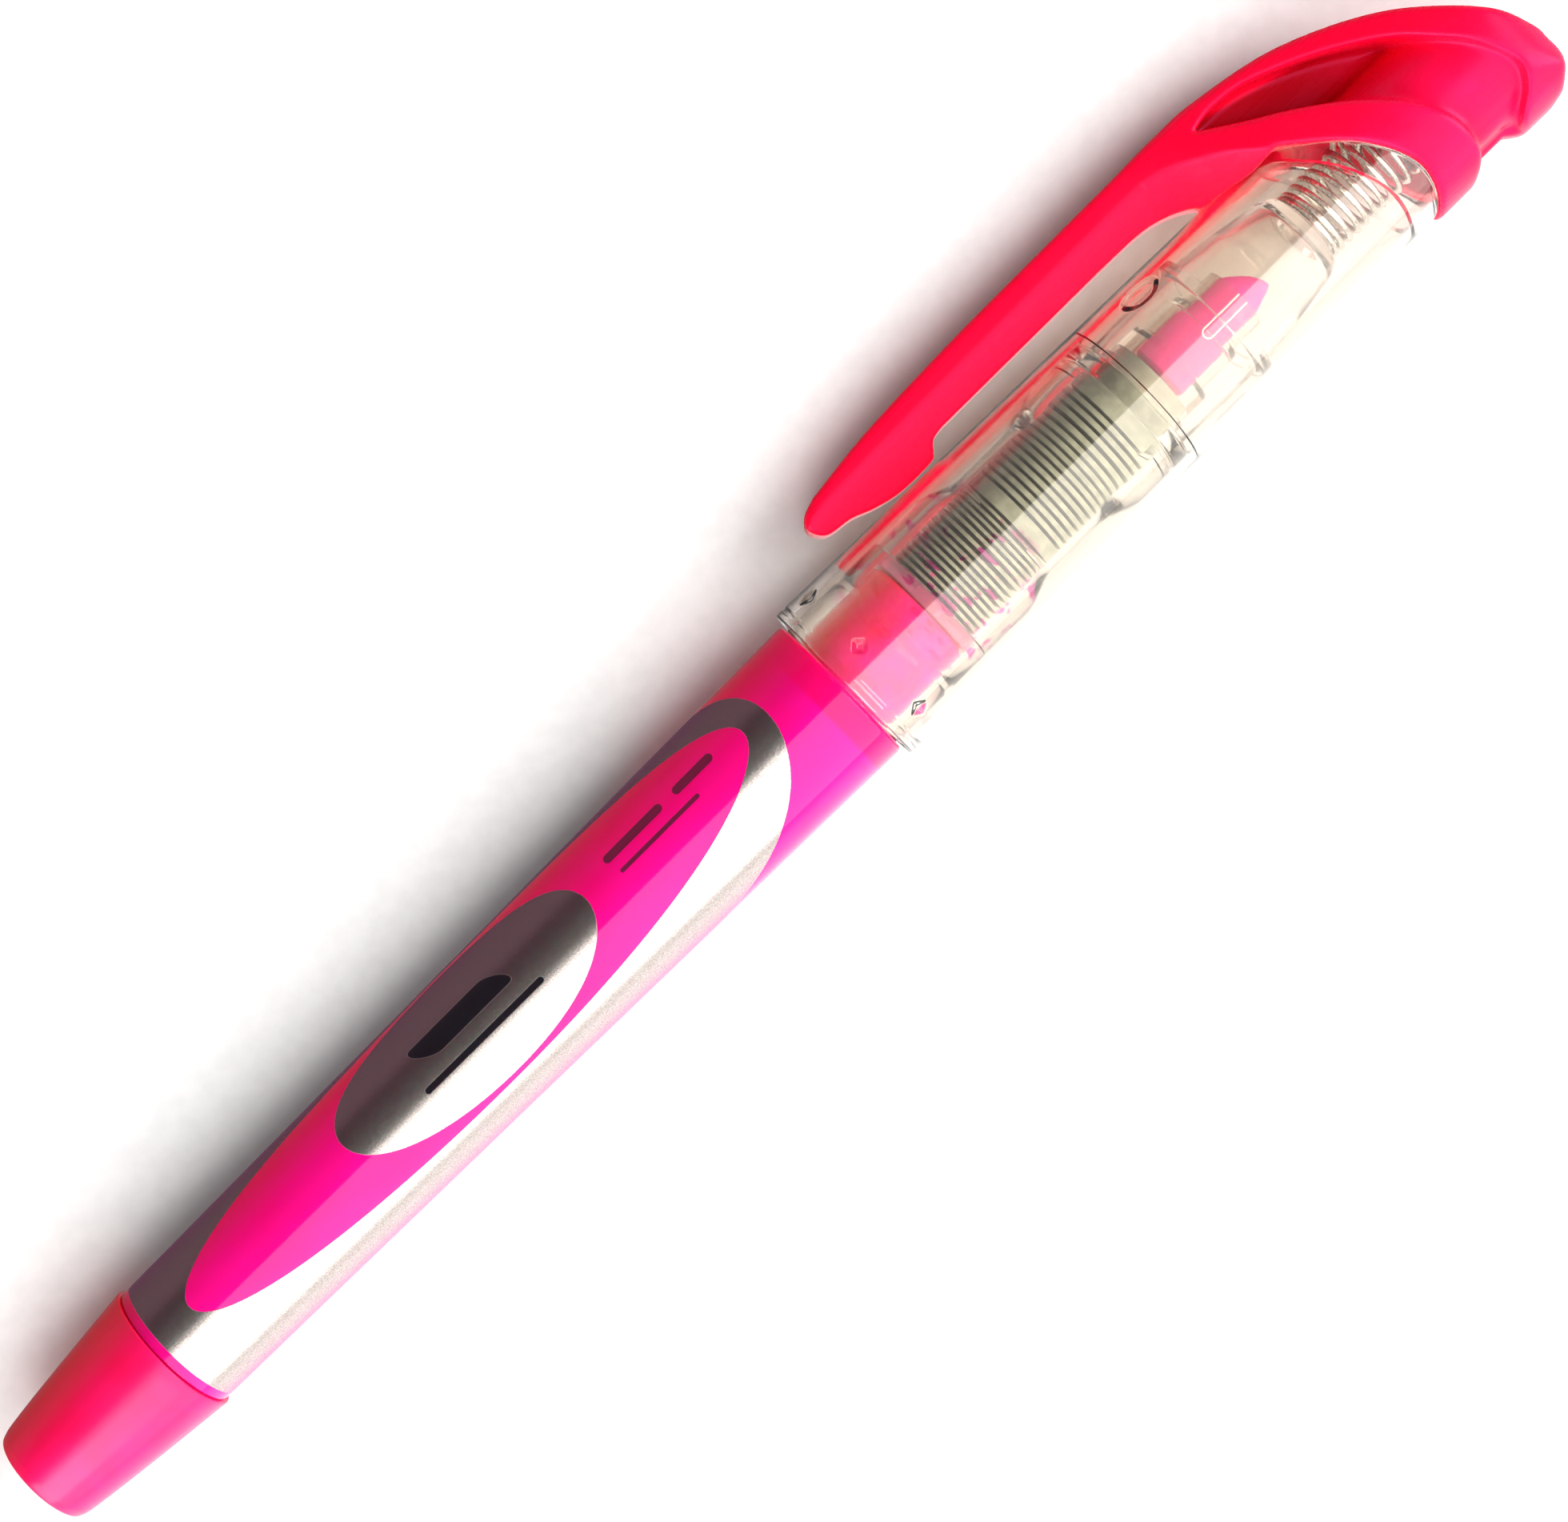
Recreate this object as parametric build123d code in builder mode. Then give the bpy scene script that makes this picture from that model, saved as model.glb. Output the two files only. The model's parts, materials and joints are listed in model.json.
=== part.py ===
"""Capped liquid-ink highlighter: translucent barrel, comb feed, clear spring-loaded cap with clip.

Every turned piece is drawn as a half outline of (station, radius) on the PEN plane and revolved
about the pen's axis. Station 0 is the tail end and stations grow towards the head of the cap.
The pen lies on a table: its axis is level, and the clip is turned down until it touches.
"""
from build123d import *
from math import acos, asin, atan2, cos, degrees, hypot, radians, sin
import os

os.makedirs("parts", exist_ok=True)

# ---- driving dimensions, mm -------------------------------------------------------------
LENGTH = 145.0              # capped, over all

TAIL_R = 4.05               # tail plug at its flat end
FLANGE_R = 5.42             # tail plug where it meets the barrel
BARREL_START = 13.1
BARREL_END = 78.9
BARREL_TAIL_R = 5.15
BARREL_FRONT_R = 6.05
BARREL_WALL = 1.0
SPIGOT_LENGTH = 4.0         # front section inside the barrel
SOCKET_STEP = 0.3           # the barrel's bore steps down behind the front section
SOCKET_STEP_LENGTH = 0.6

SECTION_R = 5.5
SECTION_END = 107.6
WAIST_R = 4.55
WAIST_FROM = 91.7
WAIST_TO = 103.1
COLLECTOR_BORE_R = 4.0
CHAMBER_R = 4.4             # ink chamber behind the partition
PARTITION_AT = 86.7
PARTITION_THICK = 1.0

FIN_R = 3.95
FIN_CORE_R = 2.3
FIN_COUNT = 15              # in each of the two packs of fins
REAR_PITCH = 0.50
FRONT_PITCH = 0.605
GROOVE = 0.26
WICK_R = 0.95

TIP_SHANK_R = 2.2
TIP_BLADE_R = 1.8
TIP_END = 119.9

MOUTH = 79.1                # cap mouth
MOUTH_R = 6.78
CAP_SLOPE = 0.0174          # radius lost per mm of cap
CAP_MOUTH_BORE_R = 6.05
CAP_STEP_AT = 107.9         # a step in the bore stops the cap on the front section
CAP_STEP_BORE_R = 5.62
CAP_HEAD_BORE_R = 5.45      # just past the step
CAP_END_BORE_R = 5.17
SNAP_AT = 81.6
SNAP_COUNT = 6
STOP_AT = 112.6             # blisters that keep the inner cap in
STOP_COUNT = 2

INNER_MOUTH = 107.7
INNER_R = 4.65
INNER_WALL = 0.55
INNER_FLANGE_R = 5.25
INNER_FLANGE_AT = 115.0
INNER_END = 124.4
INNER_END_R = 3.35

WIRE = 0.46
COIL_R = 2.68               # to the wire's centre
SPRING_TURNS = 14
SPRING_SEAT = 135.6

COLLAR_R = 6.22
CORE_R = 5.2
CROWN_BORE_R = 4.3
CLIP_HALF_WIDTH = 2.75
CLIP_TOP = 11.9             # outer face of the clip, from the pen's axis
CLIP_RIDGE = 9.9            # the flanks are upright above this and bevelled below
CLIP_UNDER = 7.95
CLIP_UNDER_HALF_WIDTH = 1.5
CLIP_SPLIT = 116.6          # the clip bends here
CLIP_TIP = 84.8
WEB_HALF = 0.9              # web left between the two side recesses of the crown

# ---- where the pen lies -----------------------------------------------------------------
# The cap's mouth and the lower edge of the clip both touch the table.
ARCH_HIGH = 11.97           # highest point of the arch, and half its width there
ARCH_HALF_WIDTH = 2.95
reach = hypot(ARCH_HIGH, ARCH_HALF_WIDTH)
turn = asin(MOUTH_R / reach) - atan2(ARCH_HALF_WIDTH, ARCH_HIGH)
AXIS_Z = MOUTH_R
clip_side = ARCH_HIGH * cos(turn) + ARCH_HALF_WIDTH * sin(turn)
AXIS_Y = (MOUTH_R - clip_side) / 2

PEN = Plane(
    origin=(-LENGTH / 2, AXIS_Y, AXIS_Z),
    x_dir=(1, 0, 0),
    z_dir=(0, sin(turn), cos(turn)),
)
PEN_AXIS = Axis(PEN.origin, PEN.x_dir)


def across(station):
    """The plane square to the pen at a station. Its x runs sideways and its y to the clip."""
    centre = PEN.from_local_coords(Vector(station, 0, 0))
    return Plane(origin=centre, x_dir=-PEN.z_dir, z_dir=PEN.x_dir)


def flank_plane():
    """The plane through the axis that is square to the clip plane, seen from the clip's side."""
    return Plane(origin=PEN.origin, x_dir=PEN.x_dir, z_dir=PEN.y_dir)


def keep(piece, label):
    """Name a finished piece and write it."""
    piece.part.label = label
    export_step(piece.part, f"parts/{label}.step")


def barrel_r(station):
    share = (station - BARREL_START) / (BARREL_END - BARREL_START)
    return BARREL_TAIL_R + share * (BARREL_FRONT_R - BARREL_TAIL_R)


def cap_r(station):
    return MOUTH_R - CAP_SLOPE * (station - MOUTH)


# ---- tail plug: a hollow push-in plug ---------------------------------------------------
PLUG_SPIGOT_END = BARREL_START + 5.0
PLUG_WALL = 1.1
END_ROUND = 0.7
SEAT_R = barrel_r(BARREL_START) - BARREL_WALL
with BuildPart() as tail_plug:
    with BuildSketch(PEN):
        with BuildLine():
            Polyline(
                (0, 0),
                (0, TAIL_R - END_ROUND),
                (END_ROUND, TAIL_R),
            )
            ThreePointArc(
                (END_ROUND, TAIL_R),
                (BARREL_START / 2, (TAIL_R + FLANGE_R) / 2 + 0.12),
                (BARREL_START, FLANGE_R),
            )
            Polyline(
                (BARREL_START, FLANGE_R),
                (BARREL_START, SEAT_R),
                (PLUG_SPIGOT_END, SEAT_R),
                (PLUG_SPIGOT_END, SEAT_R - PLUG_WALL),
                (PLUG_WALL * 1.5, TAIL_R - PLUG_WALL * 1.2),
                (PLUG_WALL * 1.5, 0),
                (0, 0),
            )
        make_face()
    revolve(axis=PEN_AXIS)
keep(tail_plug, "tail_plug")

# ---- barrel: a tapered tube, open at both ends ------------------------------------------
FRONT_ROUND = 0.45
SPIGOT_START = BARREL_END - SPIGOT_LENGTH
SOCKET_R = BARREL_FRONT_R - BARREL_WALL
with BuildPart() as barrel:
    with BuildSketch(PEN):
        with BuildLine():
            Polyline(
                (BARREL_START, SEAT_R),
                (BARREL_START, BARREL_TAIL_R),
                (BARREL_END - FRONT_ROUND, BARREL_FRONT_R),
            )
            RadiusArc(
                (BARREL_END - FRONT_ROUND, BARREL_FRONT_R),
                (BARREL_END, BARREL_FRONT_R - FRONT_ROUND),
                FRONT_ROUND,
            )
            Polyline(
                (BARREL_END, BARREL_FRONT_R - FRONT_ROUND),
                (BARREL_END, SOCKET_R),
                (SPIGOT_START, SOCKET_R),
                (SPIGOT_START - SOCKET_STEP_LENGTH, SOCKET_R - SOCKET_STEP),
                (PLUG_SPIGOT_END, SEAT_R),
                (BARREL_START, SEAT_R),
            )
        make_face()
    revolve(axis=PEN_AXIS)
keep(barrel, "barrel")

# ---- front section: the clear grip that houses the comb feed ----------------------------
CHAMBER_FRONT = PARTITION_AT + PARTITION_THICK
WAIST_EASE = 3.4            # length of each S-shaped slope
NOSE_BORE_R = 3.3
NOSE_SHOULDER = 106.4
with BuildPart() as front_section:
    with BuildSketch(PEN):
        with BuildLine():
            Polyline(
                (SPIGOT_START, CHAMBER_R),
                (SPIGOT_START, SOCKET_R),
                (BARREL_END, SOCKET_R),
                (BARREL_END, SECTION_R),
                (WAIST_FROM, SECTION_R),
            )
            Spline(
                (WAIST_FROM, SECTION_R),
                (WAIST_FROM + WAIST_EASE, WAIST_R),
                tangents=[(1, 0), (1, 0)],
            )
            Line((WAIST_FROM + WAIST_EASE, WAIST_R), (WAIST_TO - WAIST_EASE, WAIST_R))
            Spline(
                (WAIST_TO - WAIST_EASE, WAIST_R),
                (WAIST_TO, SECTION_R),
                tangents=[(1, 0), (1, 0)],
            )
            Polyline(
                (WAIST_TO, SECTION_R),
                (SECTION_END - 0.3, SECTION_R),
                (SECTION_END, SECTION_R - 0.3),
                (SECTION_END, NOSE_BORE_R),
                (NOSE_SHOULDER, NOSE_BORE_R),
                (NOSE_SHOULDER, COLLECTOR_BORE_R),
                (CHAMBER_FRONT, COLLECTOR_BORE_R),
                (CHAMBER_FRONT, CHAMBER_R),
                (SPIGOT_START, CHAMBER_R),
            )
        make_face()
    revolve(axis=PEN_AXIS)
keep(front_section, "front_section")

# ---- partition between the ink chamber and the collector --------------------------------
FEED_TUBE_R = 1.6
FEED_TUBE_START = PARTITION_AT - 2.4
with BuildPart() as ink_partition:
    with BuildSketch(PEN):
        with BuildLine():
            Polyline(
                (PARTITION_AT, CHAMBER_R),
                (CHAMBER_FRONT, CHAMBER_R),
                (CHAMBER_FRONT, WICK_R),
                (FEED_TUBE_START, WICK_R),
                (FEED_TUBE_START, FEED_TUBE_R),
                (PARTITION_AT, FEED_TUBE_R),
                (PARTITION_AT, CHAMBER_R),
            )
        make_face()
    revolve(axis=PEN_AXIS)
keep(ink_partition, "ink_partition")

# ---- the ink itself, from the tail plug to the partition --------------------------------
INK_START = PLUG_SPIGOT_END + 0.6
FILM = 0.04                 # the ink stands this far off the walls
ink_tail_r = SEAT_R - FILM
with BuildPart() as ink_fill:
    with BuildSketch(PEN):
        with BuildLine():
            Polyline(
                (INK_START, 0),
                (INK_START, ink_tail_r),
                (SPIGOT_START - SOCKET_STEP_LENGTH, SOCKET_R - SOCKET_STEP - FILM),
                (SPIGOT_START - SOCKET_STEP, CHAMBER_R - FILM),
                (PARTITION_AT, CHAMBER_R - FILM),
                (PARTITION_AT, FEED_TUBE_R + FILM),
                (FEED_TUBE_START - 0.1, FEED_TUBE_R + FILM),
                (FEED_TUBE_START - 0.1, 0),
                (INK_START, 0),
            )
        make_face()
    revolve(axis=PEN_AXIS)
keep(ink_fill, "ink_fill")

# ---- comb feed: two packs of fins that hold back surplus ink ----------------------------
COMB_START = CHAMBER_FRONT
COMB_NOSE_END = 109.5
COMB_NOSE_R = 3.2
VENT_WIDTH = 0.5
VENT_DEPTH = 1.2
rear_first = COMB_START + 0.1
land_end = rear_first + FIN_COUNT * REAR_PITCH + 0.6
front_first = land_end + 0.3


def fins(first, pitch):
    """Outline points of one pack of grooves, from its first groove towards the head."""
    points = []
    for number in range(FIN_COUNT):
        start = first + number * pitch
        points += [
            (start, FIN_R),
            (start, FIN_CORE_R),
            (start + GROOVE, FIN_CORE_R),
            (start + GROOVE, FIN_R),
        ]
    return points


with BuildPart() as comb_feed:
    with BuildSketch(PEN):
        with BuildLine():
            Polyline(
                (COMB_START, WICK_R),
                (COMB_START, FIN_R),
                *fins(rear_first, REAR_PITCH),
                *fins(front_first, FRONT_PITCH),
                (NOSE_SHOULDER, FIN_R),
                (NOSE_SHOULDER, COMB_NOSE_R),
                (COMB_NOSE_END, COMB_NOSE_R),
                (COMB_NOSE_END, WICK_R),
                (COMB_START, WICK_R),
            )
        make_face()
    revolve(axis=PEN_AXIS)
    with BuildSketch(across(COMB_START)):
        with Locations((0, FIN_R - VENT_DEPTH / 2), (0, -FIN_R + VENT_DEPTH / 2)):
            Rectangle(VENT_WIDTH, VENT_DEPTH)
    extrude(amount=NOSE_SHOULDER - COMB_START, mode=Mode.SUBTRACT)
    NOTCH = 1.3
    with BuildSketch(PEN):
        with Locations((NOSE_SHOULDER - 1.1, -FIN_R + 0.5)):
            Rectangle(NOTCH, NOTCH)
    extrude(amount=FIN_R, both=True, mode=Mode.SUBTRACT)
keep(comb_feed, "comb_feed")

# ---- fibre wick that carries ink through the comb to the tip ----------------------------
WICK_START = FEED_TUBE_START
TIP_START = 109.8
with BuildPart() as feed_wick:
    with BuildSketch(across(WICK_START)):
        Circle(WICK_R)
    extrude(amount=TIP_START - WICK_START)
keep(feed_wick, "feed_wick")

# ---- tip holder: a clear stepped nose that grips the tip --------------------------------
HOLDER_FLANGE_R = 3.95
HOLDER_STEP_1 = 111.2
HOLDER_STEP_2 = 114.8
HOLDER_END = 117.6
HOLDER_R_1 = 3.3
HOLDER_R_2 = 2.95
HOLDER_R_3 = 2.5
with BuildPart() as tip_holder:
    with BuildSketch(PEN):
        with BuildLine():
            Polyline(
                (SECTION_END, COMB_NOSE_R),
                (SECTION_END, HOLDER_FLANGE_R),
                (SECTION_END + 1.0, HOLDER_FLANGE_R),
                (SECTION_END + 1.3, HOLDER_R_1 + 0.3),
                (HOLDER_STEP_1, HOLDER_R_1 + 0.2),
                (HOLDER_STEP_1 + 0.3, HOLDER_R_2),
                (HOLDER_STEP_2, HOLDER_R_2),
                (HOLDER_STEP_2 + 0.4, HOLDER_R_3),
                (HOLDER_END, HOLDER_R_3),
                (HOLDER_END, TIP_BLADE_R),
                (HOLDER_STEP_2 - 0.6, TIP_BLADE_R),
                (HOLDER_STEP_2 - 0.6, TIP_SHANK_R),
                (COMB_NOSE_END, TIP_SHANK_R),
                (COMB_NOSE_END, COMB_NOSE_R),
                (SECTION_END, COMB_NOSE_R),
            )
        make_face()
    revolve(axis=PEN_AXIS)
    AIR_SLOT = 0.7
    with BuildSketch(PEN):
        with Locations(((HOLDER_STEP_2 + HOLDER_END) / 2 + 0.4, 0)):
            Rectangle(HOLDER_END - HOLDER_STEP_2, AIR_SLOT)
    extrude(amount=HOLDER_R_1, both=True, mode=Mode.SUBTRACT)
keep(tip_holder, "tip_holder")

# ---- chisel tip: slanted, and worn round at its point -----------------------------------
SHANK_END = HOLDER_STEP_2 - 0.6
TIP_HALF_THICK = 1.5
NOSE_FROM = 117.3           # the slant starts here
POINT = (TIP_END, -1.0)     # below the axis
SLANT_POINTS = [(NOSE_FROM, TIP_BLADE_R), (118.7, 1.05), (119.3, 0.45), (119.75, -0.4), POINT]
UNDER_POINTS = [POINT, (119.3, -1.32), (118.3, -1.68), (NOSE_FROM, -TIP_BLADE_R)]
with BuildPart() as chisel_tip:
    with BuildSketch(PEN):
        with BuildLine():
            Line((SHANK_END, -TIP_BLADE_R), (SHANK_END, TIP_BLADE_R))
            Line((SHANK_END, TIP_BLADE_R), (NOSE_FROM, TIP_BLADE_R))
            Spline(*SLANT_POINTS)
            Spline(*UNDER_POINTS)
            Line((NOSE_FROM, -TIP_BLADE_R), (SHANK_END, -TIP_BLADE_R))
        make_face()
    extrude(amount=TIP_HALF_THICK, both=True)
    with BuildSketch(across(TIP_START)):
        Circle(TIP_SHANK_R)
    extrude(amount=SHANK_END - TIP_START)
    # the blade is as round as the bore of its holder
    with BuildSketch(PEN):
        with BuildLine():
            Polyline(
                (TIP_START, 0),
                (TIP_START, TIP_SHANK_R),
                (SHANK_END, TIP_SHANK_R),
                (SHANK_END, TIP_BLADE_R),
                (TIP_END, TIP_BLADE_R),
                (TIP_END, 0),
                (TIP_START, 0),
            )
        make_face()
    revolve(axis=PEN_AXIS, mode=Mode.INTERSECT)
keep(chisel_tip, "chisel_tip")

# ---- the end of the clear cap tube, as seen square to the clip --------------------------
# The tube is cut off along a curve that falls back towards the mouth on the clip side.
CUT_TOP = (123.4, 7.4)
CUT_BOTTOM = (131.2, -7.0)
CUT_POINTS = [CUT_TOP, (126.2, 5.4), (129.9, 2.0), (132.0, -1.6), (132.2, -4.4), CUT_BOTTOM]
LIP_EASE = 0.15
TUBE_LONG_END = 134.0
SNAP_BALL = 0.8
SNAP_REACH = SECTION_R + 0.12       # how far in the snap bumps come, from the axis
SNAP_TURN = 20                      # degrees from the clip to the first one
STOP_BALL = 1.3
STOP_REACH = INNER_R + 0.28
STOP_TURN = 33


# everything inside the tube's outer surface: it trims the tube and makes room in the crown
with BuildPart() as tube_envelope:
    with BuildSketch(PEN):
        with BuildLine():
            Polyline(
                (MOUTH, 0),
                (MOUTH, MOUTH_R - LIP_EASE),
                (MOUTH + LIP_EASE, MOUTH_R),
                (TUBE_LONG_END, cap_r(TUBE_LONG_END)),
                (TUBE_LONG_END, 0),
                (MOUTH, 0),
            )
        make_face()
    revolve(axis=PEN_AXIS)
    with BuildSketch(PEN):
        with BuildLine():
            Spline(*CUT_POINTS)
            Polyline(
                CUT_BOTTOM,
                (TUBE_LONG_END + 1, CUT_BOTTOM[1]),
                (TUBE_LONG_END + 1, CUT_TOP[1]),
                CUT_TOP,
            )
        make_face()
    extrude(amount=MOUTH_R + 1, both=True, mode=Mode.SUBTRACT)


def stops(station, count, radius, turn_by):
    """Small inward bumps on the cap's bore: balls sunk into the wall at one station."""
    places = []
    for number in range(count):
        angle = radians(turn_by + number * 360 / count)
        places.append((station, radius * cos(angle), radius * sin(angle)))
    return [PEN.from_local_coords(Vector(*place)) for place in places]


with BuildPart() as cap_tube:
    with BuildSketch(PEN):
        with BuildLine():
            Polyline(
                (MOUTH, CAP_MOUTH_BORE_R),
                (MOUTH, MOUTH_R - LIP_EASE),
                (MOUTH + LIP_EASE, MOUTH_R),
                (TUBE_LONG_END, cap_r(TUBE_LONG_END)),
                (TUBE_LONG_END, CAP_END_BORE_R),
                (CAP_STEP_AT, CAP_HEAD_BORE_R),
                (CAP_STEP_AT, CAP_STEP_BORE_R),
                (MOUTH, CAP_MOUTH_BORE_R),
            )
        make_face()
    revolve(axis=PEN_AXIS)
    with Locations(*stops(SNAP_AT, SNAP_COUNT, SNAP_REACH + SNAP_BALL, SNAP_TURN)):
        Sphere(SNAP_BALL)
    with Locations(*stops(STOP_AT, STOP_COUNT, STOP_REACH + STOP_BALL, STOP_TURN)):
        Sphere(STOP_BALL)
    # the balls only fill the inside, and the head end is cut to its slant
    add(tube_envelope.part, mode=Mode.INTERSECT)
keep(cap_tube, "cap_tube")

# ---- inner cap: seals over the tip, pushed towards the mouth by the spring --------------
INNER_FLANGE_THICK = 0.9
BOSS_R = 2.05
BOSS_END = 126.6
flange_end = INNER_FLANGE_AT + INNER_FLANGE_THICK
with BuildPart() as inner_cap:
    with BuildSketch(PEN):
        with BuildLine():
            Polyline(
                (INNER_MOUTH, INNER_R - INNER_WALL),
                (INNER_MOUTH, INNER_R),
                (INNER_FLANGE_AT, INNER_R),
                (INNER_FLANGE_AT, INNER_FLANGE_R),
                (flange_end, INNER_FLANGE_R),
                (flange_end, INNER_R),
                (INNER_END - 0.9, INNER_END_R + 0.25),
                (INNER_END, INNER_END_R - 0.3),
                (INNER_END, BOSS_R),
                (BOSS_END - 0.3, BOSS_R),
                (BOSS_END, BOSS_R - 0.4),
                (BOSS_END, 0),
                (INNER_END - INNER_WALL * 1.4, 0),
                (INNER_END - INNER_WALL * 1.6, INNER_END_R - INNER_WALL * 1.5),
                (flange_end, INNER_R - INNER_WALL),
                (INNER_MOUTH, INNER_R - INNER_WALL),
            )
        make_face()
    revolve(axis=PEN_AXIS)
keep(inner_cap, "inner_cap")

# ---- spring between the inner cap and the crown -----------------------------------------
SPRING_START = INNER_END + WIRE / 2 + 0.02
spring_length = SPRING_SEAT - WIRE / 2 - 0.02 - SPRING_START
SPRING_PLANE = across(SPRING_START)
with BuildPart() as cap_spring:
    with BuildLine(SPRING_PLANE) as coil:
        Helix(
            pitch=spring_length / SPRING_TURNS,
            height=spring_length,
            radius=COIL_R,
            direction=PEN.x_dir,
        )
    with BuildSketch(Plane(origin=coil.line @ 0, z_dir=coil.line % 0)):
        Circle(WIRE / 2)
    sweep(path=coil.line, is_frenet=True)
keep(cap_spring, "cap_spring")

# ---- crown: collar, arch and closed core in one moulding --------------------------------
TOP_EDGE = CLIP_TOP + 0.3
edge_reach = hypot(CLIP_HALF_WIDTH, TOP_EDGE)
touch = atan2(CLIP_HALF_WIDTH, TOP_EDGE) + acos(COLLAR_R / edge_reach)
FLANK = (COLLAR_R * sin(touch), COLLAR_R * cos(touch))
CORE_FROM = 124.0
CORE_TO = 139.9
RIDGE_POINTS = [(CLIP_SPLIT, CLIP_RIDGE), (119.4, 9.75), (121.6, 8.9), CUT_TOP]
HEAD_POINT = (LENGTH, -2.4)
ARCH_POINTS = [(CLIP_SPLIT, 11.85), (124.8, 11.7), (131.4, 10.35), (138.1, 6.95), (143.1, 2.0), HEAD_POINT]
WINDOW_TOP = [
    (123.3, 10.2), (127.0, 10.2), (132.6, 8.1), (137.4, 4.9), (140.5, 1.2), (141.9, -2.4), (139.6, -6.9),
]
WINDOW_LOW = [(123.3, 10.2), (126.2, 8.2), (131.6, 4.4), (134.9, 0.8), (136.2, -2.7), (135.6, -6.9)]
HEAD_LOW = (142.8, -COLLAR_R - 0.3)         # where the arch's end face meets its underside
HEAD_FACE_R = 4.6
HEAD_HALF_WIDTH = 3.6
COLLAR_FULL = (128.5, 139.0)                # stations between which the crown is at its widest


ROOT_HALF_WIDTH = 1.6
ROOT_END = 125.4
with BuildPart() as cap_crown:
    with BuildSketch(PEN):
        with BuildLine():
            Spline(*ARCH_POINTS, tangents=[(1, 0.02), (0, -1)])
            RadiusArc(HEAD_POINT, HEAD_LOW, HEAD_FACE_R)
            Polyline(
                HEAD_LOW,
                (140.1, HEAD_LOW[1]),
                (138.6, -CORE_R),
                (136.2, -CORE_R),
                (134.9, CUT_BOTTOM[1]),
                CUT_BOTTOM,
            )
            Spline(*CUT_POINTS)
            Spline(*RIDGE_POINTS)
            Line((CLIP_SPLIT, CLIP_RIDGE), ARCH_POINTS[0])
        make_face()
    extrude(amount=COLLAR_R + 1, both=True)
    # seen along the pen, the flanks run from the collar's round to the narrower clip
    with BuildSketch(across(CLIP_SPLIT - 1)):
        Circle(COLLAR_R)
        with BuildLine():
            Polyline(
                (-FLANK[0], FLANK[1]),
                (-CLIP_HALF_WIDTH, TOP_EDGE),
                (CLIP_HALF_WIDTH, TOP_EDGE),
                FLANK,
                (-FLANK[0], FLANK[1]),
            )
        make_face()
    extrude(amount=LENGTH, dir=PEN.x_dir, mode=Mode.INTERSECT)
    # seen from the clip's side, the clip widens into the collar and the head is rounded
    with BuildSketch(flank_plane()):
        with BuildLine() as upper:
            Spline(
                (CLIP_SPLIT, CLIP_HALF_WIDTH),
                (122.0, 3.7),
                (COLLAR_FULL[0], COLLAR_R),
                tangents=[(1, 0), (1, 0)],
            )
            Line((COLLAR_FULL[0], COLLAR_R), (COLLAR_FULL[1], COLLAR_R))
            ThreePointArc((COLLAR_FULL[1], COLLAR_R), (143.0, 5.4), (LENGTH, HEAD_HALF_WIDTH))
            mirror(about=Plane.XZ)
            Line((LENGTH, HEAD_HALF_WIDTH), (LENGTH, -HEAD_HALF_WIDTH))
            Line((CLIP_SPLIT, CLIP_HALF_WIDTH), (CLIP_SPLIT, -CLIP_HALF_WIDTH))
        make_face()
    extrude(amount=LENGTH, both=True, mode=Mode.INTERSECT)
    # a recess in each flank leaves the arch and the collar standing proud of a thin web
    for side in (1, -1):
        with BuildSketch(PEN.offset(side * WEB_HALF)):
            with BuildLine():
                Spline(*WINDOW_TOP)
                Line(WINDOW_TOP[-1], WINDOW_LOW[-1])
                Spline(*WINDOW_LOW)
            make_face()
        extrude(amount=COLLAR_R * 2, dir=PEN.z_dir * side, mode=Mode.SUBTRACT)
    # the narrow root of the clip comes down to the tube
    with BuildSketch(PEN):
        with BuildLine():
            Line((CLIP_SPLIT, CLIP_RIDGE), (CLIP_SPLIT, CLIP_UNDER))
            Spline(
                (CLIP_SPLIT, CLIP_UNDER),
                (119.0, 6.85),
                (120.6, 5.6),
                tangents=[(1, -0.1), (0.7, -1)],
            )
            Polyline((120.6, 5.6), (ROOT_END, 5.6), CUT_TOP)
            Spline(*RIDGE_POINTS)
        make_face()
    extrude(amount=ROOT_HALF_WIDTH, both=True)
    # the closed core fills the recesses up to its own radius
    with BuildSketch(across(CORE_FROM)):
        Circle(CORE_R)
    extrude(amount=CORE_TO - CORE_FROM)
    add(tube_envelope.part, mode=Mode.SUBTRACT)
    with BuildSketch(across(CORE_FROM - 1)):
        Circle(CROWN_BORE_R)
    extrude(amount=SPRING_SEAT - CORE_FROM + 1, mode=Mode.SUBTRACT)
keep(cap_crown, "cap_crown")

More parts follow.
